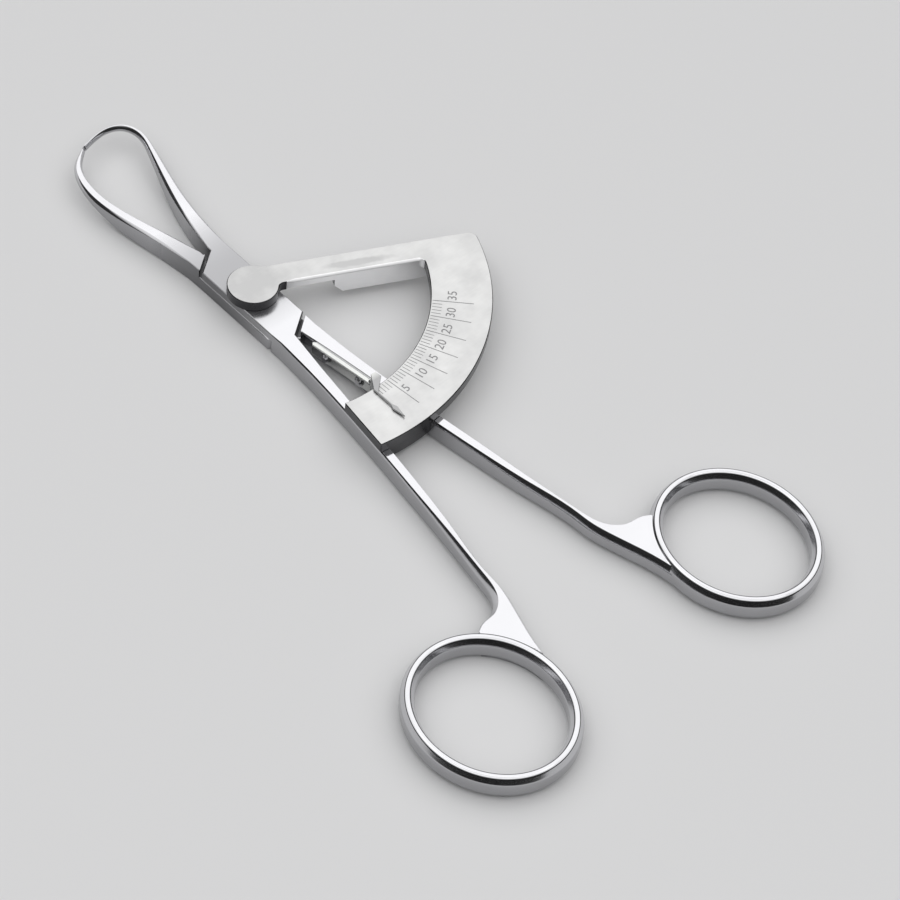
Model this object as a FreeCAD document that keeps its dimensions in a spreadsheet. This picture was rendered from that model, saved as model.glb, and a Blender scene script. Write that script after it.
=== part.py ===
import FreeCAD, Part
import math
import os

import Sketcher
from FreeCAD import Placement, Rotation, Vector

# Bone measuring gauge. Two levers cross at a lapped joint. Closing the finger rings brings the
# tips of the curved jaws together. The upper lever carries a sector plate with the scale, and
# the lower lever carries the pointer that travels over it.
#
# Frame: millimetres, +Z up, origin on the pivot axis in the plane that the gauge lies on,
# +X towards the jaw tips, +Y towards the upper lever's finger ring. The jaws are closed.

SIZES = (
    ("lever_height", 4.4, "thickness of the upper lever"),
    ("plate_clearance", 0.1, "gap between the lower lever's top and the sector plate"),
    ("lap_split", 2.6, "height of the lower lever inside the lapped joint"),
    ("lap_gap", 0.08, "running gap between the two lap faces"),
    ("lap_half_width", 3.9, "half the width of the joint across the levers"),
    ("notch_reach", 9.6, "distance of the slanted joint shoulders from the pivot axis"),
    ("notch_angle", 36, "slant of the joint shoulders, in degrees"),
    ("notch_gap", 0.5, "gap between a lap end and the shoulder it faces"),
    ("jaw_reach", 46.0, "distance along X at which the jaw tips meet"),
    ("jaw_root_width", 3.2, "width of a jaw where it leaves the joint"),
    ("jaw_tip_width", 0.8, "width of a jaw at its tip"),
    ("jaw_tip_gap", 0.15, "gap between the closed jaw tips"),
    ("jaw_tip_bottom", 2.1, "height of the underside at the jaw tips"),
    ("jaw_tip_drop", 0.9, "how far the top falls towards the jaw tips"),
    ("shank_root_width", 3.2, "width of a shank where it leaves the joint"),
    ("shank_width", 2.0, "width of a shank along its slender part"),
    ("ring_distance", 90.4, "distance along X from the pivot to the finger ring centres"),
    ("ring_offset", 27.6, "distance of a finger ring centre from the middle plane"),
    ("ring_half_length", 14.1, "half length of a finger ring along the middle of its wall"),
    ("ring_half_width", 12.65, "half width of a finger ring along the middle of its wall"),
    ("ring_wall", 2.4, "wall of a finger ring"),
    ("ring_height", 4.8, "height of a finger ring"),
    ("ring_crown_width", 1.0, "width of the flat on top of a finger ring's wall"),
    ("ring_side_height", 2.2, "height of the upright part of a finger ring's wall"),
    ("pivot_radius", 1.8, "shoulder radius of the pivot screw"),
    ("pivot_clearance", 0.03, "radial running clearance on the pivot screw"),
    ("pivot_thread_radius", 1.5, "radius of the pivot screw's threaded end"),
    ("pivot_thread_reach", 1.3, "how far the pivot screw enters the sector plate"),
    ("pivot_head_radius", 3.25, "radius of the pivot screw's head"),
    ("pivot_head_height", 1.1, "height of the pivot screw's head"),
    ("pivot_head_gap", 0.05, "gap round the pivot screw's head"),
    ("pivot_recess_depth", 1.5, "depth of the recess for the head and the spring washer"),
    ("spanner_hole_radius", 0.45, "radius of the two spanner holes in the pivot screw"),
    ("spanner_hole_depth", 0.7, "depth of the spanner holes"),
    ("spanner_hole_spacing", 3.6, "distance between the spanner holes"),
    ("washer_thickness", 0.2, "sheet thickness of the spring washer"),
    ("washer_rise", 0.12, "dish of the spring washer"),
    ("seat_gap", 0.02, "gap where one fixed piece seats in or on another"),
    ("plate_thickness", 2.0, "thickness of the sector plate"),
    ("hub_radius", 4.5, "radius of the sector's hub disc"),
    ("arc_inner_radius", 30.6, "inner radius of the scale band"),
    ("arc_outer_radius", 41.3, "outer radius of the scale band"),
    ("arm_angle", 245, "direction of the sector's arm from +X, in degrees"),
    ("arm_outer_offset", 3.7, "outer edge of the arm from the radial line"),
    ("arm_inner_offset", 0.8, "inner edge of the arm from the radial line"),
    ("rib_width", 2.4, "width of the rib under the arm"),
    ("rib_start", 14.5, "distance from the pivot at which the rib begins"),
    ("rib_bottom", 1.7, "height of the rib's underside"),
    ("rib_slope", 1.6, "slope at the start of the rib"),
    ("arc_corner_radius", 1.6, "rounding of the scale band's outer corner"),
    ("window_corner_radius", 1.0, "rounding in the sector's window"),
    ("foot_start", 32, "distance from the pivot to the near face of the stop foot"),
    ("foot_bottom", 1.4, "height of the stop foot's underside"),
    ("foot_inset", 0.4, "how far the stop foot stays inside the scale band's edge"),
    ("stop_gap", 0.1, "gap between the stop foot and the closed lower shank"),
    ("scale_screw_radius", 0.8, "radius of the scale screws"),
    ("scale_screw_reach", 1.1, "how far the scale screws enter the sector plate"),
    ("scale_screw_head_radius", 1.4, "radius of the scale screws' heads"),
    ("scale_screw_head_height", 0.8, "height of the scale screws' heads"),
    ("scale_screw_spacing", 3.8, "distance between the scale screws"),
    ("scale_screw_slot", 0.4, "width and depth of the slot in a scale screw"),
    ("zero_angle", 180.3, "direction of the pointer at zero, in degrees"),
    ("pointer_blade", 1.0, "thickness of the pointer's blade"),
    ("pointer_blade_bottom", 2.0, "height of the blade's lower edge"),
    ("pointer_start", 15.4, "distance along X to the blade's rounded end"),
    ("pointer_post_length", 2.3, "length of the post that carries the needle"),
    ("pointer_post_gap", 1.0, "gap between the post and the scale band"),
    ("pointer_lift", 0.15, "gap between the sector plate and the needle"),
    ("pointer_needle", 0.45, "thickness of the needle"),
    ("pointer_needle_width", 0.5, "width of the needle"),
    ("pointer_spear_width", 1.3, "width of the needle's spear head"),
    ("pointer_spear_length", 3.6, "length of the needle's spear head"),
    ("pointer_reach", 38.7, "distance from the pivot to the needle's point"),
    ("rivet_radius", 0.6, "radius of the pointer rivets"),
    ("rivet_head_radius", 0.95, "radius of a rivet's head"),
    ("rivet_head_height", 0.3, "height of a rivet's head"),
    ("rivet_first", 18.6, "distance along X to the first rivet"),
    ("rivet_second", 26.0, "distance along X to the second rivet"),
)

doc = FreeCAD.newDocument("bone_measuring_gauge")
sheet = doc.addObject("Spreadsheet::Sheet", "sizes")
for row, (alias, value, meaning) in enumerate(SIZES, start=1):
    sheet.set(f"A{row}", meaning)
    sheet.set(f"B{row}", str(value))
    sheet.setAlias(f"B{row}", alias)
doc.recompute()


def size(alias):
    """The value of one cell of the sheet."""
    return float(sheet.get(alias))


# Curves in the plane of the levers

HALVINGS = 50


def spline(points):
    """A smooth curve through points (x, y)."""
    curve = Part.BSplineCurve()
    curve.interpolate([Vector(x, y, 0) for x, y in points])
    return curve


def line(start, end):
    return Part.LineSegment(Vector(*start, 0), Vector(*end, 0))


def polygon(points):
    """Closed run of straight lines through points (x, y)."""
    return [line(start, end) for start, end in zip(points, points[1:] + points[:1])]


def arc_through(start, middle, end):
    return Part.Arc(Vector(*start, 0), Vector(*middle, 0), Vector(*end, 0))


def polar(radius, degrees):
    """Point (x, y) at a distance and a direction from the pivot axis."""
    angle = math.radians(degrees)
    return (radius * math.cos(angle), radius * math.sin(angle))


def flip(points, side):
    """Points as drawn for the upper lever (side 1), mirrored for the lower one (side -1)."""
    return [(x, y * side) for x, y in points]


def limb_sides(stations):
    """Both side lines of a limb whose centreline passes through stations (x, y, width)."""
    centre = spline([(x, y) for x, y, _ in stations])
    left = []
    right = []
    for x, y, width in stations:
        tangent = centre.tangent(centre.parameter(Vector(x, y, 0)))[0]
        across = Vector(-tangent.y, tangent.x, 0) * (width / 2)
        left.append((x + across.x, y + across.y))
        right.append((x - across.x, y - across.y))
    return left, right


def height_at(points, x):
    """The y at which the smooth curve through the points has a given x, found by halving."""
    curve = spline(points)
    low = curve.FirstParameter
    high = curve.LastParameter
    falling = curve.value(low).x > curve.value(high).x
    for _ in range(HALVINGS):
        middle = (low + high) / 2
        if (curve.value(middle).x > x) == falling:
            low = middle
        else:
            high = middle
    return curve.value(low).y


# Each jaw leaves the joint, bows outward and turns back to the point where the tips meet. The
# stations (x, y) are shares of the reach.
TIP_MEETING = 0.01
UPPER_JAW = ((0.277, -0.0496), (0.474, -0.0826), (0.665, -0.1366), (0.84, -0.1971),
             (0.94, -0.2148), (1.005, -0.185), (1.027, -0.1256), (1.02, -0.0617))
LOWER_JAW = ((0.273, 0.0529), (0.418, 0.0793), (0.573, 0.1123), (0.71, 0.13), (0.832, 0.12),
             (0.925, 0.0848))
UPPER_TIP_DIRECTION = (-0.2, 0.98)
LOWER_TIP_DIRECTION = (0.72, -0.69)
JAW_TAPER = 1.4


def jaw_stations(shares, tip_direction):
    """Centreline stations of a jaw, with the width falling quickly at first and then slowly."""
    reach = size("jaw_reach")
    tip_setback = (size("jaw_tip_width") + size("jaw_tip_gap")) / 2
    end_x = reach - tip_direction[0] * tip_setback
    end_y = TIP_MEETING * reach - tip_direction[1] * tip_setback
    points = [(x * reach, y * reach) for x, y in shares] + [(end_x, end_y)]
    lengths = [0.0]
    for (x0, y0), (x1, y1) in zip(points, points[1:]):
        lengths.append(lengths[-1] + math.hypot(x1 - x0, y1 - y0))
    root = size("jaw_root_width")
    tip = size("jaw_tip_width")
    stations = []
    for (x, y), length in zip(points, lengths):
        remaining = 1 - length / lengths[-1]
        stations.append((x, y, tip + (root - tip) * remaining ** JAW_TAPER))
    return stations


# The shank leaves the joint close to the middle plane and spreads towards its ring. Its root is
# placed by shares of the notch reach, and its neck by shares of the ring's half length.
SHANK_ROOT = (-1.27, 0.236)
SHANK_STATIONS = 7
SHANK_STRAIGHTNESS = 0.72
NECK_LENGTH = 1.447
NECK_DROP = 0.3227
NECK_STEPS = 6
NECK_THROAT = ((1.085, -1.025), (0.978, -0.868), (0.93, -0.697))
NECK_WALL_SHARE = 0.4
NECK_WALL_ANGLES = (-40, -58, -76, -95)
NECK_OUTER_ANGLE = -37
ROOT_TAPER = 4


def shank_stations():
    """Centreline stations of the upper lever's shank, from the joint to the ring's neck."""
    start_x = SHANK_ROOT[0] * size("notch_reach")
    start_y = SHANK_ROOT[1] * size("notch_reach")
    end_x = NECK_LENGTH * size("ring_half_length") - size("ring_distance")
    end_y = size("ring_offset") - size("ring_half_width") - NECK_DROP * size("ring_half_length")
    stations = []
    for index in range(SHANK_STATIONS):
        share = index / (SHANK_STATIONS - 1)
        spread = SHANK_STRAIGHTNESS * share + (1 - SHANK_STRAIGHTNESS) * share ** 2
        x = start_x + (end_x - start_x) * share
        y = start_y + (end_y - start_y) * spread
        extra = size("shank_root_width") - size("shank_width")
        stations.append((x, y, size("shank_width") + extra * (1 - share) ** ROOT_TAPER))
    return stations


def ring_point(degrees, outward=0.0):
    """Point on the middle of the upper ring's wall, or a distance outward of it."""
    angle = math.radians(degrees)
    x = (size("ring_half_length") + outward) * math.cos(angle)
    y = (size("ring_half_width") + outward) * math.sin(angle)
    return (x - size("ring_distance"), y + size("ring_offset"))


def neck_curve(shank_end):
    """Points of the S-shaped inner side of the neck, from the shank to the ring's middle side."""
    end_x, end_y = ring_point(-90, size("ring_wall") / 2)
    points = []
    for step in range(1, NECK_STEPS):
        share = step / NECK_STEPS
        rise = share ** 2 * (3 - 2 * share)
        points.append((shank_end[0] + (end_x - shank_end[0]) * share,
                       shank_end[1] + (end_y - shank_end[1]) * rise))
    return points


def shoulder_x(y, distance):
    """X on the slanted shoulder line that lies at a distance from the pivot axis."""
    angle = math.radians(size("notch_angle"))
    return (distance - y * math.sin(angle)) / math.cos(angle)


shank_outer, shank_inner = (points[::-1] for points in limb_sides(shank_stations()[::-1]))


def lever_outline(jaw, side):
    """Closed outline of a lever: jaw, lap, shank and the neck that runs into the ring's wall."""
    half_width = size("lap_half_width")
    lap_reach = size("notch_reach") - size("notch_gap") / 2
    left, right = limb_sides(jaw)
    if side > 0:
        inner, outer = left, right
    else:
        inner, outer = right, left
    tangent = Vector(*inner[-1], 0) - Vector(*outer[-1], 0)
    forward = Vector(tangent.y, -tangent.x, 0) * (0.5 * side)
    tip = (jaw[-1][0] + forward.x, jaw[-1][1] + forward.y)
    inner_root_y = inner[0][1] * side
    lap_far = [(shoulder_x(inner_root_y, lap_reach), inner_root_y),
               (shoulder_x(half_width, lap_reach), half_width)]
    shank_root = shank_inner[0]
    lap_near = [(-shoulder_x(-shank_root[1], lap_reach), shank_root[1]),
                (-shoulder_x(half_width, lap_reach), -half_width)]
    outward = size("ring_wall") * NECK_WALL_SHARE
    scale = size("ring_half_length")
    outer_neck = [(x * scale - size("ring_distance"), y * scale + size("ring_offset"))
                  for x, y in NECK_THROAT]
    outer_neck.append(ring_point(NECK_OUTER_ANGLE, outward))
    inner_neck = neck_curve(shank_inner[-1])[::-1]
    inner_neck.insert(0, ring_point(NECK_WALL_ANGLES[-1], outward))
    wall = [ring_point(degrees) for degrees in NECK_WALL_ANGLES]
    outer_shank = flip(shank_outer + outer_neck, side)
    inner_shank = flip(inner_neck + shank_inner[::-1], side)
    wall = flip(wall, side)
    far = flip(lap_far, side)
    near = flip(lap_near, side)
    return [
        spline(outer),
        arc_through(outer[-1], tip, inner[-1]),
        spline(inner[::-1]),
        line(inner[0], far[0]),
        line(far[0], far[1]),
        line(far[1], outer_shank[0]),
        spline(outer_shank),
        line(outer_shank[-1], wall[0]),
        spline(wall),
        line(wall[-1], inner_shank[0]),
        spline(inner_shank),
        line(inner_shank[-1], near[0]),
        line(near[0], near[1]),
        line(near[1], outer[0]),
    ]


# Helpers that add features to a body. A cut has to remove at least a small volume, and places
# closer than a hundredth of a millimetre count as the same.

SMALLEST_CUT = 1e-6
SAME_PLACE = 0.01


def new_body(label):
    body = doc.addObject("PartDesign::Body", label)
    body.Label = label
    return body


def origin_plane(body, role):
    for feature in body.Origin.OriginFeatures:
        if feature.Role == role:
            return feature
    raise ValueError(role)


def new_sketch(body, name, geometry, plane="XY_Plane", offset=None):
    """Sketch on one of the body's origin planes, shifted along its normal by an expression."""
    sketch = body.newObject("Sketcher::SketchObject", name)
    sketch.AttachmentSupport = [(origin_plane(body, plane), "")]
    sketch.MapMode = "FlatFace"
    if offset:
        sketch.setExpression("AttachmentOffset.Base.z", offset)
    sketch.addGeometry(geometry, False)
    doc.recompute()
    return sketch


def circle_sketch(body, name, centres, radius, plane="XY_Plane", offset=None):
    """Sketch of equal circles whose radius is bound to an expression."""
    circles = [Part.Circle(Vector(x, y, 0), Vector(0, 0, 1), 1.0) for x, y in centres]
    sketch = new_sketch(body, name, circles, plane, offset)
    for index in range(len(circles)):
        constraint = sketch.addConstraint(Sketcher.Constraint("Radius", index, 1.0))
        sketch.setExpression(f"Constraints[{constraint}]", radius)
    doc.recompute()
    return sketch


def add_pad(body, sketch, length):
    pad = body.newObject("PartDesign::Pad", sketch.Name + "_pad")
    pad.Profile = sketch
    pad.setExpression("Length", length)
    doc.recompute()
    return pad


def add_pocket(body, sketch, length, symmetric=False):
    """Pocket along the sketch's normal, or to both sides of it, that has to remove material."""
    before = body.Shape.Volume
    pocket = body.newObject("PartDesign::Pocket", sketch.Name + "_pocket")
    pocket.Profile = sketch
    pocket.setExpression("Length", length)
    if symmetric:
        pocket.SideType = "Symmetric"
    else:
        pocket.Reversed = True
    doc.recompute()
    if body.Shape.Volume > before - SMALLEST_CUT:
        raise ValueError(sketch.Name + " cuts nothing")
    return pocket


def add_revolution(body, sketch):
    """Full turn of a sketch on the XZ plane about the Z axis."""
    turn = body.newObject("PartDesign::Revolution", sketch.Name + "_turn")
    turn.Profile = sketch
    turn.ReferenceAxis = (sketch, ["V_Axis"])
    turn.Angle = 360
    doc.recompute()
    return turn


def chosen_edges(base, chosen):
    """Names of the edges of a feature for which chosen(edge) holds."""
    names = [f"Edge{index}" for index, edge in enumerate(base.Shape.Edges, start=1) if chosen(edge)]
    if not names:
        raise ValueError("no such edge on " + base.Name)
    return names


def add_chamfer(body, base, width, chosen):
    chamfer = body.newObject("PartDesign::Chamfer", base.Name + "_slope")
    chamfer.Base = (base, chosen_edges(base, chosen))
    chamfer.setExpression("Size", width)
    doc.recompute()
    return chamfer


def add_fillet(body, base, radius, chosen):
    fillet = body.newObject("PartDesign::Fillet", base.Name + "_rounding")
    fillet.Base = (base, chosen_edges(base, chosen))
    fillet.setExpression("Radius", radius)
    doc.recompute()
    return fillet


# Levers

def ring_section(x):
    """Eight-sided oval section of the ring's wall, centred on x and standing on z 0."""
    half_wall = size("ring_wall") / 2
    half_crown = size("ring_crown_width") / 2
    height = size("ring_height")
    shoulder = (height - size("ring_side_height")) / 2
    right = [(half_crown, 0), (half_wall, shoulder), (half_wall, height - shoulder),
             (half_crown, height)]
    left = [(-across, z) for across, z in right[::-1]]
    return polygon([(x + across, z) for across, z in right + left])


def add_ring(body, side):
    """Oval finger ring swept round an ellipse."""
    centre = Vector(-size("ring_distance"), side * size("ring_offset"), 0)
    path = Part.Ellipse(centre, size("ring_half_length"), size("ring_half_width"))
    spine = new_sketch(body, body.Label + "_ring_path", [path], "XY_Plane", "sizes.ring_height / 2")
    section = ring_section(centre.x + size("ring_half_length"))
    offset = "-sizes.ring_offset" if side > 0 else "sizes.ring_offset"
    profile = new_sketch(body, body.Label + "_ring_section", section, "XZ_Plane", offset)
    ring = body.newObject("PartDesign::AdditivePipe", body.Label + "_ring")
    ring.Profile = profile
    ring.Spine = spine
    doc.recompute()
    return ring


# Where the jaws begin to thin, and how their underside and top run from there to beyond the
# tips: shares of the length left and of the change of height.
JAW_THIN_START = 0.478
JAW_UNDERSIDE = ((0.0, 0.0), (0.2, 0.14), (0.5, 0.68), (0.75, 0.93), (1.55, 1.1))
JAW_TOP = ((0.0, 0.0), (0.35, 0.25), (0.7, 0.75), (1.55, 1.2))
JAW_CUT_MARGIN = 1.0
JAW_CUT_DEPTH = 60.0


def cut_jaw_side(body, name, shares, level, change, margin):
    """Trim one face of the jaw along a curve in the XZ plane, from its level to past the tip."""
    start = JAW_THIN_START * size("jaw_reach")
    length = size("jaw_reach") - start
    points = [(start + along * length, level + rise * change) for along, rise in shares]
    far = (points[-1][0], level + margin)
    near = (start, level + margin)
    outline = [spline(points), line(points[-1], far), line(far, near), line(near, points[0])]
    sketch = new_sketch(body, body.Label + name, outline, "XZ_Plane")
    add_pocket(body, sketch, str(JAW_CUT_DEPTH), symmetric=True)


def cut_jaw_height(body, top_height):
    """Trim the jaw below and above, so that it thins towards the tip."""
    cut_jaw_side(body, "_jaw_underside", JAW_UNDERSIDE, 0, size("jaw_tip_bottom"), -JAW_CUT_MARGIN)
    cut_jaw_side(body, "_jaw_top", JAW_TOP, top_height, -size("jaw_tip_drop"), JAW_CUT_MARGIN)


LAP_OVERCUT = 3.0


def lap_recess(side):
    """Outline of the space that the other lever's lap needs, between the slanted shoulders."""
    distance = size("notch_reach") + size("notch_gap") / 2
    beyond = size("lap_half_width") + LAP_OVERCUT
    points = [(shoulder_x(beyond, distance), -beyond), (shoulder_x(-beyond, distance), beyond),
              (-shoulder_x(beyond, distance), beyond), (-shoulder_x(-beyond, distance), -beyond)]
    return polygon(flip(points, side))


def stop_line():
    """Inner side of the closed lower shank, from the joint outward."""
    return flip(shank_inner, -1)


def build_upper_lever():
    body = new_body("upper_lever")
    outline = lever_outline(jaw_stations(UPPER_JAW, UPPER_TIP_DIRECTION), 1)
    blank = new_sketch(body, "upper_lever_outline", outline)
    add_pad(body, blank, "sizes.lever_height")
    add_ring(body, 1)
    recess = new_sketch(body, "upper_lever_lap", lap_recess(1))
    add_pocket(body, recess, "sizes.lap_split + sizes.lap_gap")
    cut_jaw_height(body, size("lever_height"))
    add_foot(body)
    thread = circle_sketch(body, "upper_lever_thread", [(0, 0)],
                           "sizes.pivot_thread_radius + sizes.seat_gap")
    add_pocket(body, thread, "sizes.lever_height")
    return body


def foot_screw_places():
    x = -(size("foot_start") + size("arc_outer_radius") - size("foot_inset")) / 2
    half = size("scale_screw_spacing") / 2
    return [(x, half), (x, -half)]


def add_foot(body):
    """Foot on the upper shank that carries the scale band and stops the lower shank."""
    near = size("foot_start")
    rim = size("arc_outer_radius") - size("foot_inset")
    stop = stop_line()
    stop_near = height_at(stop, -near) + size("stop_gap")
    stop_far = height_at(stop, -rim) + size("stop_gap")
    shank_near = height_at([(x, y) for x, y, _ in shank_stations()], -near)
    shank_far = height_at([(x, y) for x, y, _ in shank_stations()], -rim)
    far_stop = (-math.sqrt(rim ** 2 - stop_far ** 2), stop_far)
    far_shank = (-math.sqrt(rim ** 2 - shank_far ** 2), shank_far)
    outline = [
        line((-near, stop_near), (-near, shank_near)),
        line((-near, shank_near), far_shank),
        arc_through(far_shank, (-rim, 0), far_stop),
        line(far_stop, (-near, stop_near)),
    ]
    foot = new_sketch(body, "upper_lever_foot", outline, "XY_Plane", "sizes.foot_bottom")
    add_pad(body, foot, "sizes.lever_height - sizes.foot_bottom")
    places = foot_screw_places()
    holes = circle_sketch(body, "upper_lever_foot_holes", places,
                          "sizes.scale_screw_radius + sizes.seat_gap")
    add_pocket(body, holes, "sizes.lever_height")
    recesses = circle_sketch(body, "upper_lever_foot_recesses", places,
                             "sizes.scale_screw_head_radius + sizes.seat_gap")
    add_pocket(body, recesses, "sizes.foot_bottom + sizes.scale_screw_head_height")


def build_lower_lever():
    body = new_body("lower_lever")
    top = size("lever_height") - size("plate_clearance")
    outline = lever_outline(jaw_stations(LOWER_JAW, LOWER_TIP_DIRECTION), -1)
    blank = new_sketch(body, "lower_lever_outline", outline)
    add_pad(body, blank, "sizes.lever_height - sizes.plate_clearance")
    add_ring(body, -1)
    recess = new_sketch(body, "lower_lever_lap", lap_recess(-1), "XY_Plane", "sizes.lap_split")
    add_pocket(body, recess, "sizes.lever_height")
    cut_jaw_height(body, top)
    bore = circle_sketch(body, "lower_lever_bore", [(0, 0)],
                         "sizes.pivot_radius + sizes.pivot_clearance")
    add_pocket(body, bore, "sizes.lever_height")
    seat = circle_sketch(body, "lower_lever_head_recess", [(0, 0)],
                         "sizes.pivot_head_radius + sizes.pivot_head_gap")
    add_pocket(body, seat, "sizes.pivot_recess_depth")
    rivets = circle_sketch(body, "lower_lever_rivet_holes", rivet_places(),
                           "sizes.rivet_radius + sizes.seat_gap", "XZ_Plane")
    add_pocket(body, rivets, "2 * sizes.ring_offset", symmetric=True)
    return body


# Sector with the scale. Its band reaches from the arm to the upper shank, whose direction from
# the pivot is given in degrees.

SHANK_DIRECTION = 180


def arm_point(along, offset):
    """Point at a distance along the arm's radial line and an offset to its outer side."""
    x, y = polar(along, size("arm_angle"))
    dx, dy = polar(offset, size("arm_angle") + 90)
    return (x + dx, y + dy)


def along_at(radius, offset):
    """Distance along the arm at which a line with this offset crosses a circle."""
    return math.sqrt(radius ** 2 - offset ** 2)


def build_scale_sector():
    body = new_body("scale_sector")
    hub = size("hub_radius")
    inner = size("arc_inner_radius")
    outer = size("arc_outer_radius")
    outside = size("arm_outer_offset")
    inside = -size("arm_inner_offset")
    hub_outside = arm_point(along_at(hub, outside), outside)
    hub_inside = arm_point(along_at(hub, inside), inside)
    band_inside = arm_point(along_at(inner, inside), inside)
    corner = arm_point(along_at(outer, outside), outside)
    edge_near = height_at(shank_outer, -inner)
    edge_far = height_at(shank_outer, -outer)
    foot_near = (-math.sqrt(inner ** 2 - edge_near ** 2), edge_near)
    foot_far = (-math.sqrt(outer ** 2 - edge_far ** 2), edge_far)
    middle = (size("arm_angle") + SHANK_DIRECTION) / 2
    outline = [
        arc_through(hub_outside, polar(-hub, size("arm_angle")), hub_inside),
        line(hub_inside, band_inside),
        arc_through(band_inside, polar(inner, middle), foot_near),
        line(foot_near, foot_far),
        arc_through(foot_far, polar(outer, middle), corner),
        line(corner, hub_outside),
    ]
    plate = new_sketch(body, "scale_sector_plate", outline, "XY_Plane", "sizes.lever_height")
    base = add_pad(body, plate, "sizes.plate_thickness")

    def upright_at(point):
        return lambda edge: (edge.Length < size("plate_thickness") + SAME_PLACE
                             and edge.CenterOfMass.distanceToPoint(
                                 Vector(*point, edge.CenterOfMass.z)) < SAME_PLACE)

    base = add_fillet(body, base, "sizes.arc_corner_radius", upright_at(corner))
    base = add_fillet(body, base, "sizes.window_corner_radius",
                      lambda edge: upright_at(band_inside)(edge) or upright_at(hub_inside)(edge))
    rib_outer = inside + size("rib_width")
    rib_end = inner + size("window_corner_radius")
    rib_outline = polygon([
        arm_point(size("rib_start"), inside),
        arm_point(rib_end, inside),
        arm_point(rib_end, rib_outer),
        arm_point(size("rib_start"), rib_outer),
    ])
    rib = new_sketch(body, "scale_sector_rib", rib_outline, "XY_Plane", "sizes.rib_bottom")
    base = add_pad(body, rib, "sizes.lever_height - sizes.rib_bottom")
    start = Vector(*arm_point(size("rib_start"), (inside + rib_outer) / 2), size("rib_bottom"))
    add_chamfer(body, base, "sizes.rib_slope",
                lambda edge: edge.CenterOfMass.distanceToPoint(start) < SAME_PLACE)
    holes = circle_sketch(body, "scale_sector_screw_holes", foot_screw_places(),
                          "sizes.scale_screw_radius + sizes.seat_gap", offset="sizes.lever_height")
    add_pocket(body, holes, "sizes.scale_screw_reach + sizes.seat_gap")
    thread = circle_sketch(body, "scale_sector_thread", [(0, 0)],
                           "sizes.pivot_thread_radius + sizes.seat_gap", offset="sizes.lever_height")
    add_pocket(body, thread, "sizes.pivot_thread_reach + sizes.seat_gap")
    return body


# Pivot

def build_pivot_screw():
    """Shouldered screw from below: its head turns in the lower lever, its thread holds the hub."""
    body = new_body("pivot_screw")
    shoulder_top = size("lap_split") + size("lap_gap")
    thread_top = size("lever_height") + size("pivot_thread_reach")
    outline = polygon([
        (0, 0),
        (size("pivot_head_radius"), 0),
        (size("pivot_head_radius"), size("pivot_head_height")),
        (size("pivot_radius"), size("pivot_head_height")),
        (size("pivot_radius"), shoulder_top),
        (size("pivot_thread_radius"), shoulder_top),
        (size("pivot_thread_radius"), thread_top),
        (0, thread_top),
    ])
    add_revolution(body, new_sketch(body, "pivot_screw_profile", outline, "XZ_Plane"))
    half = size("spanner_hole_spacing") / 2
    holes = circle_sketch(body, "pivot_screw_spanner_holes", [(half, 0), (-half, 0)],
                          "sizes.spanner_hole_radius")
    add_pocket(body, holes, "sizes.spanner_hole_depth")
    return body


def build_pivot_washer():
    """Dished spring washer on the screw's head, which takes up the play of the joint."""
    body = new_body("pivot_washer")
    bore = size("pivot_radius") + size("pivot_clearance")
    rim = size("pivot_head_radius") - size("pivot_head_gap")
    floor = size("pivot_head_height") + size("seat_gap")
    rise = size("washer_rise")
    sheet_thickness = size("washer_thickness")
    outline = polygon([
        (bore, floor + rise),
        (rim, floor),
        (rim, floor + sheet_thickness),
        (bore, floor + rise + sheet_thickness),
    ])
    add_revolution(body, new_sketch(body, "pivot_washer_profile", outline, "XZ_Plane"))
    return body


# Pointer

def rivet_places():
    """Centres of the two rivets, as (x, z)."""
    z = (size("pointer_blade_bottom") + size("lever_height") - size("plate_clearance")) / 2
    return [(-size("rivet_first"), z), (-size("rivet_second"), z)]


BLADE_STATIONS = 5


def blade_side(offset):
    """Points along the lower shank's inner side, an offset away from it."""
    stop = stop_line()
    post_end = size("arc_inner_radius") - size("pointer_post_gap")
    start = size("pointer_start")
    points = []
    for index in range(BLADE_STATIONS):
        x = -start - (post_end - start) * index / (BLADE_STATIONS - 1)
        points.append((x, height_at(stop, x) + offset))
    return points


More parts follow.
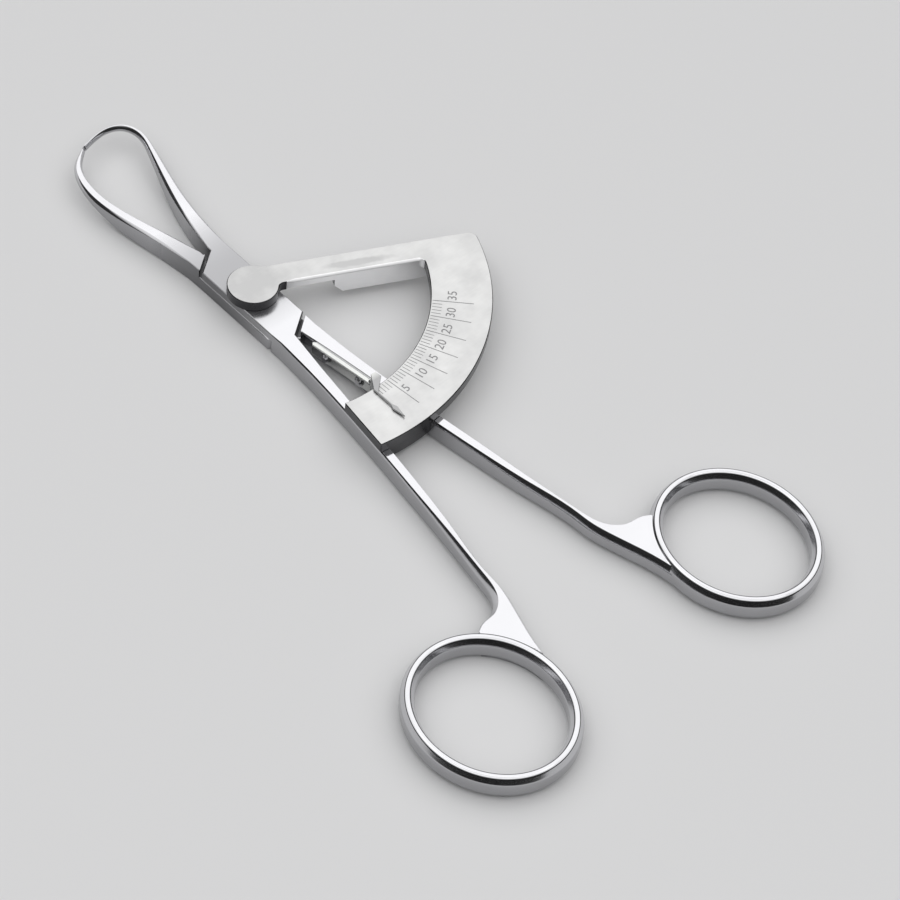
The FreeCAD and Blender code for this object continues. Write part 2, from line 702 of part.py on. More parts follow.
def build_pointer():
    """Blade on the lower shank's inner side, a post, and a needle over the scale."""
    body = new_body("pointer")
    wall_side = blade_side(size("seat_gap"))
    free_side = blade_side(size("seat_gap") + size("pointer_blade"))
    nose = (wall_side[0][0] + size("pointer_blade") / 2,
            (wall_side[0][1] + free_side[0][1]) / 2)
    outline = [
        spline(wall_side),
        line(wall_side[-1], free_side[-1]),
        spline(free_side[::-1]),
        arc_through(free_side[0], nose, wall_side[0]),
    ]
    blade = new_sketch(body, "pointer_blade_outline", outline, "XY_Plane",
                       "sizes.pointer_blade_bottom")
    add_pad(body, blade,
            "sizes.lever_height - sizes.plate_clearance - sizes.pointer_blade_bottom")
    post_end = wall_side[-1][0]
    post_start = post_end + size("pointer_post_length")
    wall_y = height_at(wall_side, post_start)
    free_y = wall_y + size("pointer_blade")
    post = new_sketch(body, "pointer_post", polygon([
        (post_start, free_y),
        (post_start, wall_y),
        wall_side[-1],
        free_side[-1],
    ]), "XY_Plane", "sizes.pointer_blade_bottom")
    add_pad(body, post, "sizes.lever_height + sizes.plate_thickness + sizes.pointer_lift"
                        " + sizes.pointer_needle - sizes.pointer_blade_bottom")
    needle = new_sketch(body, "pointer_needle_outline",
                        needle_outline(post_start, wall_y, wall_side[-1], free_y), "XY_Plane",
                        "sizes.lever_height + sizes.plate_thickness + sizes.pointer_lift")
    add_pad(body, needle, "sizes.pointer_needle")
    rivets = circle_sketch(body, "pointer_rivet_holes", rivet_places(),
                           "sizes.rivet_radius + sizes.seat_gap", "XZ_Plane")
    add_pocket(body, rivets, "2 * sizes.ring_offset", symmetric=True)
    return body


# Where the needle's sides leave the post, past the scale band's inner edge, and how much of the
# spear head's length is its point.
NEEDLE_BEND_FAR = 1.6
NEEDLE_BEND_NEAR = 0.6
SPEAR_POINT_SHARE = 0.75


def needle_outline(post_start, wall_y, post_corner, free_y):
    """Outline of the needle: a root over the post, a slim arm and a spear head."""
    reach = size("pointer_reach")
    spear = size("pointer_spear_length")
    half_needle = size("pointer_needle_width") / 2
    half_spear = size("pointer_spear_width") / 2

    def radial(distance, across):
        x, y = polar(distance, size("zero_angle"))
        dx, dy = polar(across, size("zero_angle") - 90)
        return (x + dx, y + dy)

    inner = size("arc_inner_radius")
    return polygon([
        (post_start, wall_y),
        post_corner,
        radial(inner + NEEDLE_BEND_FAR, -half_needle),
        radial(reach - spear, -half_needle),
        radial(reach - SPEAR_POINT_SHARE * spear, -half_spear),
        radial(reach, 0),
        radial(reach - SPEAR_POINT_SHARE * spear, half_spear),
        radial(reach - spear, half_needle),
        radial(inner + NEEDLE_BEND_NEAR, half_needle),
        (post_start, free_y),
    ])


# Groups of identical fasteners

def build_scale_screws():
    """Two slotted screws from below, through the stop foot into the sector plate."""
    margin = size("scale_screw_slot")
    screws = []
    for number, (x, y) in enumerate(foot_screw_places(), start=1):
        head = doc.addObject("Part::Cylinder", f"scale_screw_{number}_head")
        head.setExpression("Radius", "sizes.scale_screw_head_radius")
        head.setExpression("Height", "sizes.scale_screw_head_height - sizes.seat_gap")
        head.Placement = Placement(Vector(x, y, size("foot_bottom")), Rotation())
        shank = doc.addObject("Part::Cylinder", f"scale_screw_{number}_shank")
        shank.setExpression("Radius", "sizes.scale_screw_radius")
        shank.setExpression("Height", "sizes.lever_height + sizes.scale_screw_reach - sizes.foot_bottom")
        shank.Placement = head.Placement
        whole = doc.addObject("Part::Fuse", f"scale_screw_{number}_whole")
        whole.Base = head
        whole.Tool = shank
        slot = doc.addObject("Part::Box", f"scale_screw_{number}_slot")
        slot.setExpression("Length", "2 * (sizes.scale_screw_head_radius + sizes.scale_screw_slot)")
        slot.setExpression("Width", "sizes.scale_screw_slot")
        slot.setExpression("Height", "sizes.scale_screw_slot")
        slot.Placement = Placement(
            Vector(x - size("scale_screw_head_radius") - margin, y - size("scale_screw_slot") / 2,
                   size("foot_bottom")), Rotation())
        screw = doc.addObject("Part::Cut", f"scale_screw_{number}")
        screw.Base = whole
        screw.Tool = slot
        screws.append(screw)
    group = doc.addObject("Part::Compound", "scale_screws")
    group.Links = screws
    doc.recompute()
    return group


# How deep a rivet's plain end stays inside the slanted outer side, how far its head stands off
# the curved blade, and how much the head narrows.
RIVET_SETBACK = 0.4
RIVET_STANDOFF = 0.16
RIVET_CROWN = 0.6


def build_pointer_rivets():
    """Two rivets through the lower shank and the pointer's blade."""
    rivets = []
    for number, (x, z) in enumerate(rivet_places(), start=1):
        inner_y = height_at(stop_line(), x)
        outer_y = height_at(flip(shank_outer, -1), x)
        blade_y = inner_y + size("seat_gap") + size("pointer_blade")
        start_y = outer_y + size("rivet_head_height") * RIVET_SETBACK
        stem = doc.addObject("Part::Cylinder", f"pointer_rivet_{number}_stem")
        stem.setExpression("Radius", "sizes.rivet_radius")
        stem.Height = blade_y - start_y + size("rivet_head_height")
        stem.Placement = Placement(Vector(x, start_y, z), Rotation(Vector(1, 0, 0), -90))
        head = doc.addObject("Part::Cone", f"pointer_rivet_{number}_head")
        head.setExpression("Radius1", "sizes.rivet_head_radius")
        head.setExpression("Radius2", f"sizes.rivet_head_radius * {RIVET_CROWN}")
        head.setExpression("Height", "sizes.rivet_head_height")
        head_y = blade_y + size("seat_gap") + size("rivet_head_radius") * RIVET_STANDOFF
        head.Placement = Placement(Vector(x, head_y, z), Rotation(Vector(1, 0, 0), -90))
        rivet = doc.addObject("Part::Fuse", f"pointer_rivet_{number}")
        rivet.Base = stem
        rivet.Tool = head
        rivets.append(rivet)
    group = doc.addObject("Part::Compound", "pointer_rivets")
    group.Links = rivets
    doc.recompute()
    return group


def check_and_export(pieces):
    """Stop on any failed object or shape, then write one STEP file per piece."""
    for item in doc.Objects:
        if "Invalid" in item.State or "Error" in item.State:
            raise RuntimeError(item.Name + " failed")
    for piece in pieces:
        if piece.Shape.isNull() or not piece.Shape.isValid():
            raise RuntimeError(piece.Label + " has no valid shape")
    os.makedirs("parts", exist_ok=True)
    for piece in pieces:
        piece.Shape.exportStep(os.path.join("parts", piece.Label + ".step"))
        print(piece.Label, "solids", len(piece.Shape.Solids), "volume", round(piece.Shape.Volume, 2))


check_and_export([
    build_upper_lever(),
    build_lower_lever(),
    build_scale_sector(),
    build_pivot_screw(),
    build_pivot_washer(),
    build_scale_screws(),
    build_pointer(),
    build_pointer_rivets(),
])
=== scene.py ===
# %% [markdown]
# # A bone measuring gauge in polished steel
# Two levers cross at a lapped joint, like the halves of a pair of scissors. The curved jaws
# touch a bone from both sides, and a pointer on one lever shows the distance between the tips on
# a scale that the other lever carries. The solid model gives the exact places, so we load it
# first.

# %% Load the fixed frame
import math

import bmesh
import bpy
import numpy as np
from mathutils import Matrix, Vector


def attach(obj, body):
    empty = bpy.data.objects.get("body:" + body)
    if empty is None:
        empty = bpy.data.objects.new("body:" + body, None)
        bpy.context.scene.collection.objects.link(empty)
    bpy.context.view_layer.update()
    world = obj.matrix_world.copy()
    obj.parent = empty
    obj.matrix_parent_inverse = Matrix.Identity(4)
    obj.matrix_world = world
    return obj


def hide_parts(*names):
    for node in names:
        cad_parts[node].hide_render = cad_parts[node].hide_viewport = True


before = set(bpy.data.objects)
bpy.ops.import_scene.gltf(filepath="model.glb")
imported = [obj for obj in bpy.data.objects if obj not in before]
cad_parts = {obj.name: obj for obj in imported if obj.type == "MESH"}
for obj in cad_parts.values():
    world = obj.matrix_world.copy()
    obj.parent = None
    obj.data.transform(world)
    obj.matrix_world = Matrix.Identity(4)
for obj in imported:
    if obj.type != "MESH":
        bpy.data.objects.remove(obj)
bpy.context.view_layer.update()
print("nodes:", sorted(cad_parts))

# %% [markdown]
# Blender works in metres and this gauge is small, so every shape below is worked out in
# millimetres and scaled once, when its mesh is made. The sizes are those of the solid model.

# %% Sizes in millimetres
MM = 0.001
LEVER_HEIGHT = 4.4
LOWER_TOP = 4.3
LAP_SPLIT = 2.6
LAP_CEILING = 2.68
LAP_HALF_WIDTH = 3.9
SHOULDER_REACH = 9.35
RECESS_REACH = 10.1
SHOULDER_SLANT = math.radians(36)
JAW_REACH = 46.0
RING_CENTRE = (-90.4, 27.6)
RING_HALF = (14.1, 12.65)
RING_WALL = 2.4
RING_HEIGHT = 4.8
PLATE_LOW = 4.4
PLATE_HIGH = 6.4
BAND = (30.6, 41.3)
ARM_ANGLE = 245.0
ZERO_ANGLE = 180.3
print("lever", LEVER_HEIGHT, "mm high, plate from", PLATE_LOW, "to", PLATE_HIGH, "mm")

# %% [markdown]
# The jaws and shanks are long soft curves. Each is a cubic curve through a few stations, bent so
# that its slope and its curvature never jump, because polished steel shows every kink as a broken
# reflection. A thin elastic ruler held at the stations takes the same shape.

# %% Smooth curves through a few points


def spline(points):
    """Fit a natural cubic to points: chord lengths as the parameter, second slopes by one solve."""
    points = np.asarray(points, float)
    knots = np.r_[0, np.cumsum(np.linalg.norm(np.diff(points, axis=0), axis=1))]
    gap = np.diff(knots)[:, None]
    slope = np.diff(points, axis=0) / gap
    count = len(points)
    matrix = np.eye(count)
    right = np.zeros_like(points)
    inner = np.arange(1, count - 1)
    matrix[inner, inner - 1] = gap[:-1, 0]
    matrix[inner, inner] = 2 * (gap[:-1, 0] + gap[1:, 0])
    matrix[inner, inner + 1] = gap[1:, 0]
    right[1:-1] = 6 * np.diff(slope, axis=0)
    return knots, points, np.linalg.solve(matrix, right)


def along(fit, where):
    """Points of a fitted curve at parameters: the cubic blend of the two stations beside each."""
    knots, points, bend = fit
    index = np.clip(np.searchsorted(knots, where, side="right") - 1, 0, len(knots) - 2)
    gap = (knots[index + 1] - knots[index])[:, None]
    before = (knots[index + 1] - where)[:, None] / gap
    after = 1 - before
    curve = (before ** 3 - before) * bend[index] + (after ** 3 - after) * bend[index + 1]
    return before * points[index] + after * points[index + 1] + curve * gap ** 2 / 6


def sample(points, count):
    """Evenly spread points of the smooth curve through a few stations."""
    fit = spline(points)
    return along(fit, np.linspace(0, fit[0][-1], count))


print("a bent ruler:", sample([(0, 0), (2, 1), (4, 0)], 5).round(2).tolist())

# %% Lines, arcs and side lines


def straight(start, end, count):
    """Evenly spread points of a straight line, both ends included."""
    share = np.linspace(0, 1, count)[:, None]
    return np.asarray(start, float) * (1 - share) + np.asarray(end, float) * share


def arc(radius, start, end, count):
    """Points of a circle about the pivot, between two directions in degrees."""
    turn = np.radians(np.linspace(start, end, count))
    return radius * np.stack([np.cos(turn), np.sin(turn)], 1)


def on_circle(radius, angle):
    """One point of a circle about the pivot, at a direction in degrees."""
    return arc(radius, angle, angle, 1)[0]


def sides(stations):
    """Left and right side stations of a limb: half its width square to the centre curve."""
    stations = np.asarray(stations, float)
    fit = spline(stations[:, :2])
    step = 1e-4
    ahead = along(fit, np.minimum(fit[0] + step, fit[0][-1]))
    behind = along(fit, np.maximum(fit[0] - step, 0))
    run = ahead - behind
    run /= np.linalg.norm(run, axis=1)[:, None]
    across = np.stack([-run[:, 1], run[:, 0]], 1) * stations[:, 2:] / 2
    return stations[:, :2] + across, stations[:, :2] - across


# %% [markdown]
# Outlines with straight stretches and corners are chains of lines and arcs, and where two of them
# meet the corner is replaced by a short curve.

# %% Chains with rounded corners
SMALLEST_CUT = 1e-3


def chain(parts, radii):
    """Join parts end to end and round the corner after each one.

    A corner is cut back by its radius on both sides and bridged by a parabola: (1-t)^2 times one
    end, 2t(1-t) times the corner and t^2 times the other end.
    """
    trimmed = []
    for index, part in enumerate(parts):
        length = np.r_[0, np.cumsum(np.linalg.norm(np.diff(part, axis=0), axis=1))]
        start = max(radii[index - 1], SMALLEST_CUT)
        stop = length[-1] - max(radii[index], SMALLEST_CUT)
        where = np.r_[start, length[(length > start) & (length < stop)], stop]
        trimmed.append(np.stack([np.interp(where, length, part[:, axis]) for axis in (0, 1)], 1))
    result = []
    for index, part in enumerate(trimmed):
        result.append(part)
        if radii[index] > 0:
            after = trimmed[(index + 1) % len(parts)][0]
            t = np.linspace(0, 1, 9)[1:-1, None]
            corner = parts[index][-1]
            result.append((1 - t) ** 2 * part[-1] + 2 * t * (1 - t) * corner + t ** 2 * after)
    return np.vstack(result)


def polygon(corners, radius):
    """Closed outline with straight edges, every corner rounded by the same radius."""
    edges = [straight(corner, corners[(index + 1) % len(corners)], 4)
             for index, corner in enumerate(corners)]
    return chain(edges, [radius] * len(corners))


print("a rounded square:", len(polygon([(0, 0), (4, 0), (4, 4), (0, 4)], 1.0)), "points")

# %% [markdown]
# Every cell that makes metal uses the same two steps: a grid of points, and the faces between
# neighbours. Real edges are never sharp, and on polished steel the narrow round of an edge is what
# draws the bright and dark lines. So each side wall is one profile, carried round the outline:
# in from the underside, round the lower edge, up the side and round the upper edge.

# %% Walls with rounded edges
EDGE_STEPS = 7
EDGE_POWER = 1.8
SHARPEST = -0.6


def outward(line):
    """Outward offset of each corner of a closed outline that runs anticlockwise.

    The two edge normals at a corner are added and divided by one plus their product, so that
    both edges move by the same distance.
    """
    run = np.roll(line, -1, axis=0) - line
    run /= np.maximum(np.linalg.norm(run, axis=1), 1e-9)[:, None]
    after = np.stack([run[:, 1], -run[:, 0]], 1)
    before = np.roll(after, 1, axis=0)
    agree = np.maximum((before * after).sum(1), SHARPEST)[:, None]
    return (before + after) / (1 + agree)


def wall(line, low, high, across, up):
    """Grid of a side wall: at each outline point one profile from the underside to the top.

    The lower edge moves in by across * (1 - sin(a) ** p) and up by up * (1 - cos(a) ** p) as a
    goes from 0 to 90 degrees. With p = 1 that is a round, with p = 2 a flat bevel, and 1.8 gives
    a bevel with soft ends. The upper edge is its mirror image.
    """
    low, high, across, up = (np.broadcast_to(value, len(line))[:, None]
                             for value in (low, high, across, up))
    turn = np.linspace(0, np.pi / 2, EDGE_STEPS + 1)[None, :]
    sine = np.sin(turn) ** EDGE_POWER
    cosine = np.maximum(np.cos(turn), 0) ** EDGE_POWER
    inset = np.concatenate([across * (1 - sine), across * (1 - cosine)], 1)
    height = np.concatenate([low + up * (1 - cosine), high - up * (1 - sine)], 1)
    plan = line[:, None, :] - outward(line)[:, None, :] * inset[:, :, None]
    return np.concatenate([plan, height[:, :, None]], 2)


# %% Closed plates and tubes
SAME_POINT = 0.0005


def grid_faces(rows, columns, close_rows=False, close_columns=False):
    """Four-cornered faces between neighbours of a grid, joined round where it is closed."""
    row = np.arange(rows if close_rows else rows - 1)[:, None]
    column = np.arange(columns if close_columns else columns - 1)[None, :]
    next_row = (row + 1) % rows
    next_column = (column + 1) % columns
    corners = [row * columns + column, next_row * columns + column,
               next_row * columns + next_column, row * columns + next_column]
    return np.stack(np.broadcast_arrays(*corners), -1).reshape(-1, 4).tolist()


def plate(line, low, high, across, up):
    """Closed plate with rounded edges: a wall round the outline and two flat caps."""
    grid = wall(line, low, high, across, up)
    rows, columns = grid.shape[:2]
    bottom = (np.arange(rows)[::-1] * columns).tolist()
    top = (np.arange(rows) * columns + columns - 1).tolist()
    return grid.reshape(-1, 3), grid_faces(rows, columns, close_rows=True) + [bottom, top]


def tube(rows, closed_ends=True):
    """Closed skin over rings of points, with a flat cap at either end of an open run."""
    count, columns = rows.shape[:2]
    faces = grid_faces(count, columns, close_columns=True, close_rows=not closed_ends)
    if closed_ends:
        faces += [np.arange(columns)[::-1].tolist(),
                  ((count - 1) * columns + np.arange(columns)).tolist()]
    return rows.reshape(-1, 3), faces


def link(thing):
    """Put an object into the scene."""
    bpy.context.scene.collection.objects.link(thing)
    return thing


def new_object(name, shape):
    """Mesh object at the origin from points in millimetres and faces, turned to face outwards."""
    points, faces = shape
    mesh = bpy.data.meshes.new(name)
    mesh.from_pydata((np.asarray(points) * MM).tolist(), [], faces)
    work = bmesh.new()
    work.from_mesh(mesh)
    bmesh.ops.remove_doubles(work, verts=work.verts, dist=SAME_POINT * MM)
    bmesh.ops.recalc_face_normals(work, faces=work.faces)
    work.to_mesh(mesh)
    work.free()
    return link(bpy.data.objects.new(name, mesh))


# %% [markdown]
# A lever is forged in one: jaw, lap, shank and ring. Here the parts are made as closed shapes that
# pass into each other, and Boolean modifiers weld them and cut the holes. The result is baked
# into the mesh, so that only clean skin is left.

# %% Weld and cut


def evaluated_mesh(thing):
    """A new mesh: what an object's modifiers, or its letters, come to."""
    bpy.context.view_layer.update()
    graph = bpy.context.evaluated_depsgraph_get()
    return bpy.data.meshes.new_from_object(thing.evaluated_get(graph))


def apply_modifiers(thing):
    """Replace an object's mesh by what its modifiers make of it, less any doubled faces."""
    mesh = evaluated_mesh(thing)
    mesh.validate()
    old = thing.data
    thing.modifiers.clear()
    thing.data = mesh
    mesh.name = thing.name
    bpy.data.meshes.remove(old)


def combine(thing, others, operation):
    """Weld (UNION) or cut (DIFFERENCE) with other objects, which are used up."""
    for other in others:
        boolean = thing.modifiers.new("combine", "BOOLEAN")
        boolean.operation = operation
        boolean.solver = "EXACT"
        boolean.object = other
        apply_modifiers(thing)
        bpy.data.objects.remove(other)


# %% [markdown]
# A smooth round beside a flat face usually bends the flat's shading too, and polished steel shows
# that as a smear. So each corner of a face gets its own normal, in which large faces count most:
# flats stay flat, and all of the bend falls on the narrow round.

# %% Corner normals
SMOOTH_ANGLE = math.radians(60)


def read(items, name, kind=float, width=1):
    """One property of all of a mesh's faces or corners, as a flat array."""
    values = np.empty(len(items) * width, kind)
    items.foreach_get(name, values)
    return values


def face_places(thing):
    """Normals and centres, in millimetres, of an object's faces."""
    faces = thing.data.polygons
    return (read(faces, "normal", width=3).reshape(-1, 3),
            read(faces, "center", width=3).reshape(-1, 3) / MM)


def smooth_corners(thing):
    """Shade by corner normals that keep flats flat: the large faces round a corner count most.

    The normal at a corner of a face is the mean of the face normals round it, each times its
    area. Faces that turn away by more than the smooth angle are left out, so that real edges
    stay crisp.
    """
    mesh = thing.data
    normals, _ = face_places(thing)
    vertex = read(mesh.loops, "vertex_index", np.int32)
    sizes = read(mesh.polygons, "loop_total", np.int32)
    area = read(mesh.polygons, "area")
    order = np.argsort(vertex, kind="stable")
    face = np.repeat(np.arange(len(sizes)), sizes)[order]
    count = np.bincount(vertex)
    start = (np.cumsum(count) - count)[vertex[order]]
    count = count[vertex[order]]
    place = np.arange(len(order)) - start
    total = np.zeros((len(order), 3))
    for shift in range(count.max()):
        other = face[start + (place + shift) % count]
        agree = (normals[face] * normals[other]).sum(1) > math.cos(SMOOTH_ANGLE)
        weight = np.where(agree & (shift < count), area[other], 0) / MM ** 2
        total += normals[other] * weight[:, None]
    total /= np.maximum(np.linalg.norm(total, axis=1), 1e-12)[:, None]
    corner = np.empty_like(total)
    corner[order] = total
    mesh.shade_smooth()
    mesh.normals_split_custom_set(corner)


# %% Finish a piece and fix it to its body


def finish_metal(thing, body, material, replaces=()):
    """Smooth the rounds, keep real edges crisp, and fix the piece to its body."""
    thing.data.materials.clear()
    thing.data.materials.append(material)
    smooth_corners(thing)
    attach(thing, body)
    if replaces:
        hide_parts(*replaces)
    print(thing.name, len(thing.data.polygons), "faces")


def paint(thing, material, chosen):
    """Give some faces of an object another finish."""
    mesh = thing.data
    index = read(mesh.polygons, "material_index", np.int32)
    index[chosen] = len(mesh.materials)
    mesh.materials.append(material)
    mesh.polygons.foreach_set("material_index", index)
    print(thing.name, "has", int(chosen.sum()), "faces of", material.name)


# %% [markdown]
# Shader maths is easier to read as a formula than as a web of nodes. This small class wraps one
# output of a node, so that + - * between two of them, or with a plain number, adds the Math node.

# %% Formulas that build nodes


class Flow:
    """A value that flows along a link of a node tree."""

    def __init__(self, tree, socket=None):
        self.tree = tree
        self.socket = socket

    def make(self, kind, settings=None, inputs=None, output=0):
        """Add a node: its settings first, then the values or links of its sockets."""
        node = self.tree.nodes.new("ShaderNode" + kind)
        for key, value in (settings or {}).items():
            if key == "stops":
                ramp = node.color_ramp.elements
                while len(ramp) < len(value):
                    ramp.new(1.0)
                for element, (place, shade) in zip(ramp, value):
                    element.position = place
                    element.color = (shade, shade, shade, 1)
            else:
                setattr(node, key, value)
        for key, value in (inputs or {}).items():
            if isinstance(value, Flow):
                self.tree.links.new(value.socket, node.inputs[key])
            else:
                node.inputs[key].default_value = value
        return Flow(self.tree, node.outputs[output])

    def maths(self, operation, first, second):
        """A Math node on two values."""
        return self.make("Math", {"operation": operation}, {0: first, 1: second})

    def __add__(self, other):
        return self.maths("ADD", self, other)

    __radd__ = __add__

    def __sub__(self, other):
        return self.maths("SUBTRACT", self, other)

    def __rsub__(self, other):
        return self.maths("SUBTRACT", other, self)

    def __mul__(self, other):
        return self.maths("MULTIPLY", self, other)

    __rmul__ = __mul__

    def clip(self):
        """The value, held between 0 and 1."""
        return self.make("Clamp", {}, {0: self, 1: 0.0, 2: 1.0})

    def tint(self, dark, light):
        """Colour between two shades, by this value."""
        return self.make("Mix", {"data_type": "RGBA"}, {0: self, 6: (*dark, 1), 7: (*light, 1)}, 2)


# %% Start a material, read noise, feed the shader


def start_material(name):
    """New node material: its principled shader and a flow that reads object coordinates."""
    material = bpy.data.materials.new(name)
    material.use_nodes = True
    tree = material.node_tree
    shader = next(node for node in tree.nodes if node.type == "BSDF_PRINCIPLED")
    place = Flow(tree).make("TexCoord", output=3)
    return material, shader, place


def noise(place, size_mm, detail=2.0, stretch=(1, 1, 1), turn=0.0):
    """Soft noise between 0 and 1 with blotches of about a size, stretched along an axis."""
    scaled = place.make("Mapping", {}, {0: place, 2: (0, 0, turn), 3: stretch})
    return place.make("TexNoise", {}, {0: scaled, 2: 1 / (size_mm * MM), 3: detail})


def feed(shader, **values):
    """Link flows to the shader's sockets, or set plain numbers on them."""
    for name, value in values.items():
        socket = shader.inputs[name.replace("_", " ").title()]
        if isinstance(value, Flow):
            shader.id_data.links.new(value.socket, socket)
        else:
            socket.default_value = value


# %% [markdown]
# The levers are mirror-polished stainless steel. Polish is never perfect: a trace of unevenness
# in the roughness, and hair-fine marks left by the polishing wheel, make it look like metal and
# not like glass.

# %% Polished steel
JOINT_MIDDLE = 6.0
JOINT_SPREAD = 15.0
CLOUD_SIZE = 7.0
HAIR_SIZE = 0.22


def polished_steel(name, shade, rough, joint_share=0.0, wall_shade_share=0.0):
    """Polished metal: clouds take up to a tenth of its shade, and fine hair marks its bump.

    About the joint it turns darker and satin by a share, times one less the square of the
    distance. Walls get painted shade: the less their normal points up, the darker they are, by
    the other share, and they are a little rougher.
    """
    material, shader, place = start_material(name)
    x = place.make("SeparateXYZ", {}, {0: place})
    offset = (x - JOINT_MIDDLE * MM) * (1 / (JOINT_SPREAD * MM))
    satin = (1 - offset * offset).clip() * joint_share
    normal_z = place.make("SeparateXYZ", {}, {0: place.make("TexCoord", output=1)}, 2)
    # painted shade: walls darker than the tops, and a little rougher
    brushed_wall_shade = (1.3 - normal_z * normal_z * 4).clip() * wall_shade_share
    cloud = noise(place, CLOUD_SIZE)
    hair = noise(place, HAIR_SIZE, 3.0, stretch=(0.1, 1, 1))
    tone = cloud * 0.10 + 0.90 - satin - brushed_wall_shade
    bump = place.make("Bump", {}, {"Strength": 0.04, "Distance": 0.02 * MM, "Height": hair})
    dark = tuple(0.3 * value for value in shade)
    feed(shader, base_color=tone.clip().tint(dark, shade), metallic=1.0,
         roughness=rough + 0.06 * cloud + 0.8 * satin + 0.15 * brushed_wall_shade, normal=bump)
    return material


lever_steel = polished_steel("lever_steel", (0.70, 0.70, 0.72), 0.07, 0.42, 0.5)
screw_steel = polished_steel("screw_steel", (0.58, 0.58, 0.59), 0.18)
print("lever steel has", len(lever_steel.node_tree.nodes), "nodes")

# %% [markdown]
# The scale plate is ground and satin, so that its marks can be read without glare. Handling has
# left paler and darker patches a few millimetres across. Only the faces are ground. The cut edges
# get painted shade: a dark finish, so that a thin dark line follows the plate's whole outline.

# %% Satin steel
STAIN_MIDDLE = (-7.2, -17.9)
STAIN_SIZE = (7.5, 0.9)
DARK_PIVOT_REACH = 10.0
PATCH_SIZE = 4.5
GRAIN_SIZE = 0.35
GRAIN_TURN = math.radians(25)


def streak(place):
    """Soft oval stain along the arm: one inside, zero outside, broken by fine noise."""
    moved = place.make("VectorMath", {"operation": "SUBTRACT"},
                       {0: place, 1: (STAIN_MIDDLE[0] * MM, STAIN_MIDDLE[1] * MM, 0)}, 0)
    turned = place.make("VectorRotate", {"rotation_type": "Z_AXIS"},
                        {"Vector": moved, "Angle": -math.radians(ARM_ANGLE)})
    scaled = place.make("VectorMath", {"operation": "MULTIPLY"},
                        {0: turned, 1: (1 / (STAIN_SIZE[0] * MM), 1 / (STAIN_SIZE[1] * MM), 0)}, 0)
    distance = place.make("VectorMath", {"operation": "LENGTH"}, {0: scaled}, 1)
    return ((1.3 - distance) * 1.6 - noise(place, 1.2) * 0.9).clip()


def satin_steel(name, dark, light, rough):
    """Ground metal between two shades: patches and a fine grain, less a stain, and darker near the
    pivot.
    """
    material, shader, place = start_material(name)
    patches = noise(place, PATCH_SIZE, 3.0)
    grain = noise(place, GRAIN_SIZE, 2.0, stretch=(1, 0.15, 1), turn=GRAIN_TURN)
    # the plate turns darker towards the pivot, within a reach
    reach = place.make("VectorMath", {"operation": "LENGTH"}, {0: place}, 1)
    darker_near_pivot = (1.3 - reach * (1 / (DARK_PIVOT_REACH * MM))).clip()
    shade = (patches * 1.6 - 0.35 + grain * 0.25 - streak(place) * 0.8 - darker_near_pivot * 0.7).clip()
    bump = place.make("Bump", {}, {"Strength": 0.12, "Distance": 0.02 * MM, "Height": grain})
    feed(shader, base_color=shade.tint(dark, light), metallic=1.0,
         roughness=rough + 0.12 * patches, normal=bump)
    return material


scale_steel = satin_steel("scale_steel", (0.50, 0.50, 0.50), (0.72, 0.72, 0.715), 0.30)
# painted shade: a near-black copy of the ground finish, for faces that lie in shade
painted_shade_steel = satin_steel("painted_shade_steel", (0.05, 0.05, 0.053), (0.12, 0.12, 0.124), 0.18)
# painted highlight: a lighter copy of the ground finish, for the arm's inner wall
window_highlight_steel = satin_steel("window_highlight_steel", (0.86, 0.86, 0.87), (0.97, 0.97, 0.975), 0.25)
print("scale steel has", len(scale_steel.node_tree.nodes), "nodes")

# %% [markdown]
# The pointer is a steel spring: bright where the blade lies along the shank, and tempered dark at
# the needle, so that it stands out over the scale. One material does both, by the distance from
# the pivot.

# %% Tempered pointer steel
NEEDLE_START = 29.2
TEMPER_RUN = 1.5


def pointer_finish(name):
    """Spring steel that turns from bright to dark over a short run before the needle."""
    material, shader, place = start_material(name)
    x = place.make("SeparateXYZ", {}, {0: place})
    dark = ((x * -1 - (NEEDLE_START - 1) * MM) * (1 / (TEMPER_RUN * MM))).clip()
    cloud = noise(place, 1.5)
    tone = (1 - dark) * (0.75 + 0.25 * cloud) + dark * (0.06 + 0.06 * cloud)
    colour = tone.clip().tint((0.33, 0.33, 0.335), (0.72, 0.73, 0.71))
    feed(shader, base_color=colour, metallic=1.0, roughness=0.2 + 0.1 * cloud)
    return material


pointer_steel = pointer_finish("pointer_steel")

# %% [markdown]
# Engraved marks are filled with black lacquer that has worn to a soft grey.

# %% Lacquer in the engraving


def lacquer(name):
    """Matt grey paint, unevenly worn."""
    material, shader, place = start_material(name)
    worn = noise(place, 0.6, 3.0)
    feed(shader, base_color=worn.tint((0.16, 0.16, 0.165), (0.34, 0.34, 0.345)),
         roughness=0.45 + 0.2 * worn)
    return material


engraving = lacquer("engraving_lacquer")

# %% [markdown]
# ## The levers
# Seen from above, a lever is a long strip between two side lines. We walk along both sides at once
# from the tip: each pair of points is a rung of a ladder, and the top and the underside are the
# faces between rungs. Where the lap begins the rungs are slanted like the joint's shoulders, and
# two rungs almost touch, so the underside can step up there.

# %% Jaw and shank stations
UPPER_JAW = ((0.277, -0.0496), (0.474, -0.0826), (0.665, -0.1366), (0.84, -0.1971),
             (0.94, -0.2148), (1.005, -0.185), (1.027, -0.1256), (1.02, -0.0617))
LOWER_JAW = ((0.273, 0.0529), (0.418, 0.0793), (0.573, 0.1123), (0.71, 0.13), (0.832, 0.12),
             (0.925, 0.0848))
UPPER_TIP = (-0.2, 0.98)
LOWER_TIP = (0.72, -0.69)
TIP_SETBACK = 0.475
ROOT_WIDTH, TIP_WIDTH = 3.2, 0.8
SHANK_START = (-12.192, 2.2656)
SHANK_END = (-70.0, 10.4)


